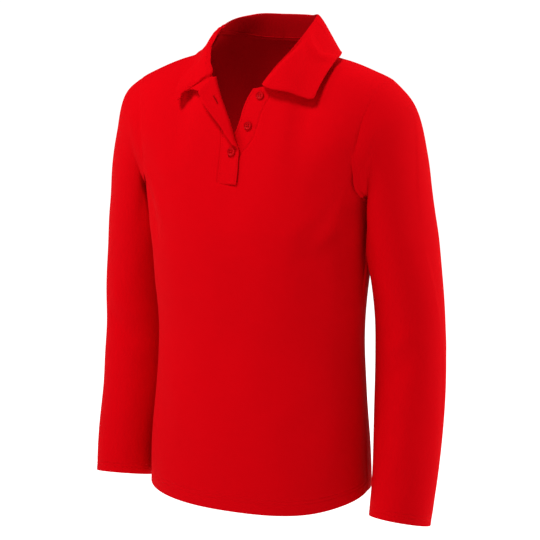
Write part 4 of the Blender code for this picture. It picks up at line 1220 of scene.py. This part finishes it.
def sleeve_skin(hand, places, angles):
    """The outer face of a sleeve with its creases, its directions, how far each ring is down from the
    armhole, the girth, and how far each ring is up from the cuff's edge."""
    grid = sleeve_grid(hand, places, angles)
    down = np.gradient(grid, axis=0)
    around = np.roll(grid, -1, axis=1) - np.roll(grid, 1, axis=1)
    out = unit(np.cross(down, around))
    out = out * np.sign((out * (grid - grid.mean(axis=1, keepdims=True))).sum())
    walked = step_lengths(grid, 0).mean(axis=1)[:, None]
    girth = np.linalg.norm(np.roll(grid, -1, axis=1) - grid, axis=-1).sum(axis=1).mean()
    round_place = np.broadcast_to(angles / 360 * girth, grid.shape[:2])
    relief = swell(round_place + SLEEVE_SHIFT * hand, walked)
    for place_a, angle_a, place_b, angle_b, width, height in SLEEVE_CREASES[hand]:
        start = (angle_a / 360 * girth, place_a * walked[-1, 0])
        end = (angle_b / 360 * girth, place_b * walked[-1, 0])
        relief = relief + crease(round_place, walked, start, end, width, height)
    from_edge = walked[-1] - walked
    inside = smooth((np.cos(np.radians(angles - 180)) - HIDDEN_FROM) / HIDDEN_RUN)
    inside = inside * smooth((HIDDEN_END - places[:, None]) / HIDDEN_FADE)
    relief = relief * smooth(walked / CALM_UNDER_ARMHOLE) * smooth(from_edge / CALM_OVER_CUFF) * (1 - inside)
    relief = relief + hem_dip(from_edge, CUFF_HEM)
    sink = -SEAM_DIP * bell(walked, ARMHOLE_REACH)
    return grid + out * (relief + sink)[..., None], out, walked, girth, from_edge


def build_sleeve(name, hand):
    grid, out, walked, girth, from_edge = sleeve_skin(hand, SLEEVE_PLACES, SLEEVE_ANGLES)
    body_out, off = armhole_out(SLEEVE_ANGLES, hand)
    under = grid[:1] - off * TUCK - body_out * TUCK_DEPTH
    half_under = grid[:1] - off * TUCK / 2 - body_out * TUCK_DEPTH / 2
    grid = np.concatenate([under, half_under, grid])
    out = np.concatenate([out[:1], out[:1], out])
    along = np.concatenate([[[-TUCK], [-TUCK / 2]], walked])
    from_edge = np.concatenate([from_edge[:1], from_edge[:1], from_edge])
    across = np.linspace(0, girth, len(SLEEVE_ANGLES) + 1)
    places = np.stack(np.broadcast_arrays(across, along), axis=-1)
    mirror = np.array([hand, 1, 1])
    # The sleeve's inner face is painted in full shade.
    skin = {"points": grid * mirror, "out": out * mirror, "map": places, "closed": True,
            "depth": wall_depth(from_edge, CUFF_HEM), "shade": 0.0, "inner_shade": 1.0}
    return make_cloth(name, [skin], cloth)


def cuff_line(hand, height):
    """A line round a cuff at a height over its edge."""
    grid, out, _, _, from_edge = sleeve_skin(hand, CUFF_PLACES, CUFF_ANGLES)
    level = from_edge[:, 0]
    order = np.argsort(level)
    mirror = np.array([hand, 1, 1])
    line, normal = (np.array([[np.interp(height, level[order], rows[order, k, axis]) for axis in range(3)]
                              for k in range(len(CUFF_ANGLES))]) for rows in (grid, out))
    closed = np.concatenate([line, line[:1]]) * mirror
    return closed, unit(np.concatenate([normal, normal[:1]])) * mirror


for hand, side_name in ((1, "left"), (-1, "right")):
    piece(build_sleeve("sleeve_" + side_name + "_cloth", hand), "sleeve_" + side_name)
    cuff_runs = [cuff_line(hand, height) for height in (CUFF_HEM, CUFF_HEM - HEM_ROWS_APART)]
    sewn(stitch_mesh("cuff_stitches_" + side_name, cuff_runs, thread))


# ---------------------------------------------------------------- placket
BAND_STEPS = 84
HOLE_LENGTH = 0.0135
HOLE_SIDE = 0.036  # from the slit to its sewn edges, as a share of the band's width
HOLE_STITCHES = (0.0008, 0.0001, 0.00045)  # length, gap and radius
SLIT_STITCH = (HOLE_LENGTH, 0.0006, 0.00050)
BAND_SHARES = np.linspace(0, 1, 29)
BAND_SEWN_IN = 0.0022  # from the free edge to the dip of its stitches
BAND_SEWN_DIP = 0.6
BAND_DIP = 0.7  # of a seam's usual dip
BAND_SIDES = (0.07, 0.93)  # shares of a band's width at its rows of stitches
BAND_ENDS = (0.02, 0.98)  # and of its length where they end
BAND_FOOT = (0.02, 0.10)  # the rows across its foot
UNDER_ENDS = (0.30, 0.98)


def band_skin(hand, shares):
    grid = band_grid(hand, BAND_STEPS, shares)
    facing = np.zeros_like(grid)
    facing[: BAND_STEPS // 3] = np.array([0.0, -1.0, 0.0])
    return grid, grid_normals(grid, facing)


def build_band(name, hand):
    grid, out = band_skin(hand, BAND_SHARES)
    across = step_lengths(grid, 1)
    along = np.broadcast_to(step_lengths(grid, 0).mean(axis=1)[:, None], across.shape)
    shares = BAND_SHARES if hand < 0 else 1 - BAND_SHARES
    width = 2 * BAND_HALF
    sewn_edge = bell((1 - shares) * width - BAND_SEWN_IN, STITCH_REACH) * BAND_SEWN_DIP
    seam = bell(shares * width, SEAM_REACH) + sewn_edge
    grid = grid - out * (seam * SEAM_DIP * BAND_DIP)[None, :, None]
    skin = {"points": grid, "out": out, "depth": BAND_LAYERS, "map": np.stack([across, along], axis=-1),
            "shade": 0.0, "inner_shade": 0.0}
    return make_cloth(name, [skin], cloth)


piece(build_band("placket_over_cloth", -1), "placket_over")
piece(build_band("placket_under_cloth", 1), "placket_under")


def band_line(hand, share, first, last):
    """A line up a band at a share of its width, between two shares of its length."""
    grid, out = band_skin(hand, np.array([share - 0.01, share, share + 0.01]))
    low, high = int(first * BAND_STEPS), int(last * BAND_STEPS)
    return grid[low:high + 1, 1], out[low:high + 1, 1]


def band_cross(along):
    """A line across the over band at a share of its length."""
    grid, out = band_skin(-1, np.linspace(*BAND_SIDES, 21))
    row = int(along * BAND_STEPS)
    return grid[row], out[row]


band_runs = [band_line(-1, share, *BAND_ENDS) for share in BAND_SIDES]
band_runs += [band_cross(along) for along in BAND_FOOT]
sewn(stitch_mesh("placket_over_stitches", band_runs, thread))
band_runs = [band_line(1, share, *UNDER_ENDS) for share in BAND_SIDES]
sewn(stitch_mesh("placket_under_stitches", band_runs, thread))


def build_buttonhole(name, height, turned):
    """A sewn slit up the middle of the over band, on the side of it that shows."""
    low, top = PLACKET_BOTTOM + SEAM_GAP, NECK_RIGHT[0][2] - OVER_SLANT / 2
    middle = (height - low) / (top - low)
    reach = HOLE_LENGTH / 2 / (top - low)
    lines = []
    for share in (0.5 - HOLE_SIDE, 0.5, 0.5 + HOLE_SIDE):
        line, out = band_line(-1, share, middle - reach, middle + reach)
        lines.append((line - out * BAND_LAYERS, -out) if turned else (line, out))
    sewn(stitch_mesh(name + "_edges", [lines[0], lines[2]], thread, *HOLE_STITCHES))
    # The slit is a thin dark tube of painted shade along the middle of the buttonhole.
    sewn(stitch_mesh(name + "_slit", [lines[1]], slit_shade, *SLIT_STITCH))


build_buttonhole("buttonhole_low", BUTTONS["button_low"], False)
build_buttonhole("buttonhole_mid", BUTTONS["button_mid"], True)
build_buttonhole("buttonhole_top", BUTTONS["button_top"] - OVER_SLANT / 2, True)


# ---------------------------------------------------------------- collar
COLLAR_PLACES = np.linspace(-1, 1, 221)
STAND_STEPS = 18
FALL_STEPS = 26
ROLL_BLUR = 0.0030  # over how much of the stand, from the roll, the painted shade comes in
STAND_SEEN = 0.90  # place up to which it does
STAND_FADE = 0.06
TURNING_END = 0.60  # place up to which the turning of the neck seam lies inside the body
TURNING_DROP = 0.0055


def build_collar_cloth():
    grid = collar_grid(COLLAR_PLACES, STAND_STEPS, FALL_STEPS)
    toward = np.zeros_like(grid)
    toward[:, -2:] = unit(grid[:, -2:] * np.array([1.0, 1.0, 0.0]) + np.array([0.0, 0.0, 0.05]))
    out = grid_normals(grid, toward)
    down = step_lengths(grid, 1)
    along = step_lengths(grid, 0)[:, STAND_STEPS]
    places = np.stack(np.broadcast_arrays(along[:, None], down), axis=-1)
    from_roll = down - down[:, STAND_STEPS:STAND_STEPS + 1]
    # Painted shade on the neck side of the stand, below the roll, fading out near the collar's front ends.
    stand_shade = smooth(-from_roll / ROLL_BLUR)
    stand_shade = stand_shade * smooth((STAND_SEEN - np.abs(COLLAR_PLACES[:, None])) / STAND_FADE)
    skin = {"points": grid, "out": out, "depth": COLLAR_LAYERS, "map": places, "shade": stand_shade, "inner_shade": 0.0}
    held = np.abs(COLLAR_PLACES) <= TURNING_END
    drop = np.array([0.0, 0.0, -TURNING_DROP])
    # The seam's turning is painted all in shade colour, on both faces.
    turning = strip(grid[held, 0], out[held, 0], drop, places[held, 0], 1.0)
    return make_cloth("collar_leaf", [skin, turning], collar_cloth)


piece(build_collar_cloth(), "collar")


# ---------------------------------------------------------------- buttons
BUTTON_RINGS = (
    # radius and height, as shares of the button's
    (0.00, 0.10), (0.70, 0.06), (0.90, 0.14), (1.00, 0.42), (1.00, 0.62), (0.95, 0.86), (0.87, 0.98),
    (0.79, 0.94), (0.72, 0.72), (0.60, 0.62), (0.30, 0.58), (0.00, 0.57),
)
BUTTON_SIDES = 48
HOLE_PLACE = 0.24  # of the button's radius, each way from the middle
HOLE_RADIUS = 0.13
HOLE_SIDES = 20
SEAT_SHARE = 0.75  # of a seam's gap between a button and its band
LAP_SHARE = 0.8  # of the over band's lift under a button that is fastened through it
SHARP_TURN = math.radians(40)
STRAND_APART = 0.00016  # between the strands of thread that hold a button
STRAND_RADIUS = 0.00017
STRAND_ARCH = 0.00035
STRAND_STEP = 0.0001  # how much higher the outer strands lie
STRAND_POINTS = 9
STRAND_SHARE = 0.96  # of the way between two holes


def button_frame(height):
    """Where a button sits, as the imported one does."""
    line_x = read(BUTTON_LINE, height)[0]
    out = torso_normal(-1, *torso_place(-1, line_x, height))
    lift = SEAM_GAP * SEAT_SHARE
    if height < BUTTON_LAP:
        lift += BAND_LIFT * LAP_SHARE
    centre = on_front(line_x, height) + out * lift
    right = unit(np.cross(out, np.array([0.0, 0.0, 1.0])))
    up = np.cross(right, out)
    return centre, right, -up, out


def build_button(name, height):
    centre, right, up, out = button_frame(height)
    turn = np.linspace(0, 2 * np.pi, BUTTON_SIDES + 1)[:-1]
    rings = BUTTON_RINGS[1:-1]
    points = [np.stack([np.cos(turn) * radius * BUTTON_RADIUS, np.sin(turn) * radius * BUTTON_RADIUS,
                        np.full_like(turn, rise * BUTTON_HEIGHT)], axis=1) for radius, rise in rings]
    faces = corner_grid(len(rings), BUTTON_SIDES, True)[0][:, ::-1].tolist()
    count = len(rings) * BUTTON_SIDES
    points.append(np.array([[0, 0, BUTTON_RINGS[0][1] * BUTTON_HEIGHT],
                            [0, 0, BUTTON_RINGS[-1][1] * BUTTON_HEIGHT]]))
    last = count - BUTTON_SIDES
    for k in range(BUTTON_SIDES):
        after = (k + 1) % BUTTON_SIDES
        faces.append([count, k, after])
        faces.append([count + 1, last + after, last + k])
    item = make_object(name, np.concatenate(points), faces, button_plastic)
    cutters = []
    for dx in (-1, 1):
        for dy in (-1, 1):
            bpy.ops.mesh.primitive_cylinder_add(
                vertices=HOLE_SIDES, radius=HOLE_RADIUS * BUTTON_RADIUS, depth=BUTTON_HEIGHT * 3,
                location=(dx * HOLE_PLACE * BUTTON_RADIUS, dy * HOLE_PLACE * BUTTON_RADIUS, 0))
            cutters.append(bpy.context.object)
    for cutter in cutters:
        hole = item.modifiers.new("hole", "BOOLEAN")
        hole.operation = "DIFFERENCE"
        hole.solver = "EXACT"
        hole.object = cutter
    bpy.context.view_layer.update()
    solid = bpy.data.meshes.new_from_object(item.evaluated_get(bpy.context.evaluated_depsgraph_get()))
    item.modifiers.clear()
    item.data = solid
    for cutter in cutters:
        bpy.data.objects.remove(cutter)
    solid.shade_smooth()
    solid.set_sharp_from_angle(angle=SHARP_TURN)
    place = Matrix((tuple(right), tuple(up), tuple(out))).transposed().to_4x4()
    place.translation = Vector(centre)
    solid.transform(place)
    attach(item, "root")
    return item, (centre, right, up, out)


def build_button_thread(name, button):
    centre, right, up, out = button
    reach = HOLE_PLACE * BUTTON_RADIUS
    level = BUTTON_RINGS[-1][1] * BUTTON_HEIGHT
    share = np.linspace(0, 1, STRAND_POINTS)[:, None]
    runs = []
    for strand in (-1, 0, 1):
        for start, end in (((-1, -1), (1, 1)), ((-1, 1), (1, -1))):
            way = -start[1]
            spot = np.array(start) * (1 - share) + np.array(end) * share
            shift = strand * STRAND_APART * np.array([-1, 1]) * way
            spot = spot * reach + shift * np.array([1, way])
            arch = level + STRAND_ARCH * np.sin(np.pi * share) + STRAND_STEP * abs(strand)
            line = centre + right * spot[:, :1] + up * spot[:, 1:] + out * arch
            runs.append((line, np.repeat(out[None], STRAND_POINTS, axis=0)))
    length = 2 * math.sqrt(2) * reach
    gap = length * (1 - STRAND_SHARE) / 2
    item = stitch_mesh(name, runs, thread, length * STRAND_SHARE, gap, STRAND_RADIUS)
    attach(item, "root")


for node, height in BUTTONS.items():
    button, seat = build_button(node + "_sewn", height)
    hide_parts(node)
    build_button_thread(node + "_thread", seat)


# ---------------------------------------------------------------- floor, light and camera
FLOOR_LEVEL = -1.36  # the shirt is held at the height of a standing wearer's shoulders
FLOOR_HALF = 60.0
VIEW_TURN = math.radians(23.0)
VIEW_RISE = math.radians(13.0)
VIEW_DISTANCE = 2.22
VIEW_TARGET = Vector((0.008, 0.0, -0.335))
INSIDE_TARGET = Vector((0.0, 0.085, -0.21))  # on the inside of the back, below the neck
LENS = 105.0
SENSOR = 36.0
FLOOR_WHITE = (0.93, 0.93, 0.93, 1.0)
FLOOR_GLOW = (0.10, 1.0)  # near the shirt, and further off where the lights don't reach
GLOW_FROM = 1.1  # distance from the shirt at which the floor starts to get brighter
GLOW_RUN = 1.3


def build_floor():
    finish = Finish("floor")
    spot = finish.object_place()
    cloud = finish.noise(spot, 0.4)
    far = finish.value("ShaderNodeVectorMath", {"operation": "LENGTH"}, {0: spot}, "Value")
    dim, bright = [(level, level, level, 1.0) for level in FLOOR_GLOW]
    glow = finish.mix(((far - GLOW_FROM) / GLOW_RUN).held(), dim, bright)
    finish.surface({"Base Color": FLOOR_WHITE, "Roughness": cloud * 0.1 + 0.85, "Emission Color": glow,
                    "Emission Strength": 1.0, "Specular IOR Level": 0.0})
    corners = np.array([(-1, -1, 0), (1, -1, 0), (1, 1, 0), (-1, 1, 0)], float) * FLOOR_HALF
    corners[:, 2] = FLOOR_LEVEL
    floor = make_object("floor", corners, [(0, 1, 2, 3)], finish.material)


def aimed(name, data, turn, rise, distance, target):
    """A camera or a light that looks at the target. turn is 0 in front."""
    item = bpy.data.objects.new(name, data)
    way = Vector((math.sin(turn) * math.cos(rise), -math.cos(turn) * math.cos(rise), math.sin(rise)))
    item.location = target + way * distance
    item.rotation_euler = way.to_track_quat("Z", "Y").to_euler()
    bpy.context.scene.collection.objects.link(item)
    return item


def add_light(name, azimuth, rise, distance, size, energy, target=VIEW_TARGET):
    """A soft square light that faces the target. azimuth is 0 in front."""
    light = bpy.data.lights.new(name, "AREA")
    light.shape = "SQUARE"
    light.size = size
    light.energy = energy
    item = aimed(name, light, math.radians(azimuth), math.radians(rise), distance, target)


def build_world(strength):
    world = bpy.data.worlds.new("studio")
    world.use_nodes = True
    world.node_tree.nodes["Background"].inputs["Color"].default_value = (1.0, 1.0, 1.0, 1.0)
    world.node_tree.nodes["Background"].inputs["Strength"].default_value = strength
    bpy.context.scene.world = world


def build_camera():
    camera = bpy.data.cameras.new("camera")
    camera.lens = LENS
    camera.sensor_width = SENSOR
    bpy.context.scene.camera = aimed("camera", camera, VIEW_TURN, VIEW_RISE, VIEW_DISTANCE, VIEW_TARGET)


build_floor()
add_light("key", -30, 64, 2.6, 0.7, 52)
add_light("far_side", -60, 28, 2.6, 1.2, 14)
add_light("near_side", 122, 28, 2.6, 1.0, 52)
# A small lamp inside the shirt stands in for light that comes through the knit.
add_light("through_cloth", 0, -14, 0.13, 0.10, 0.26, INSIDE_TARGET)
build_world(0.10)
build_camera()
bpy.context.scene.view_settings.view_transform = "Standard"
bpy.context.scene.view_settings.look = "None"


def plain(bounds):
    return [[float(number) for number in corner] for corner in bounds]
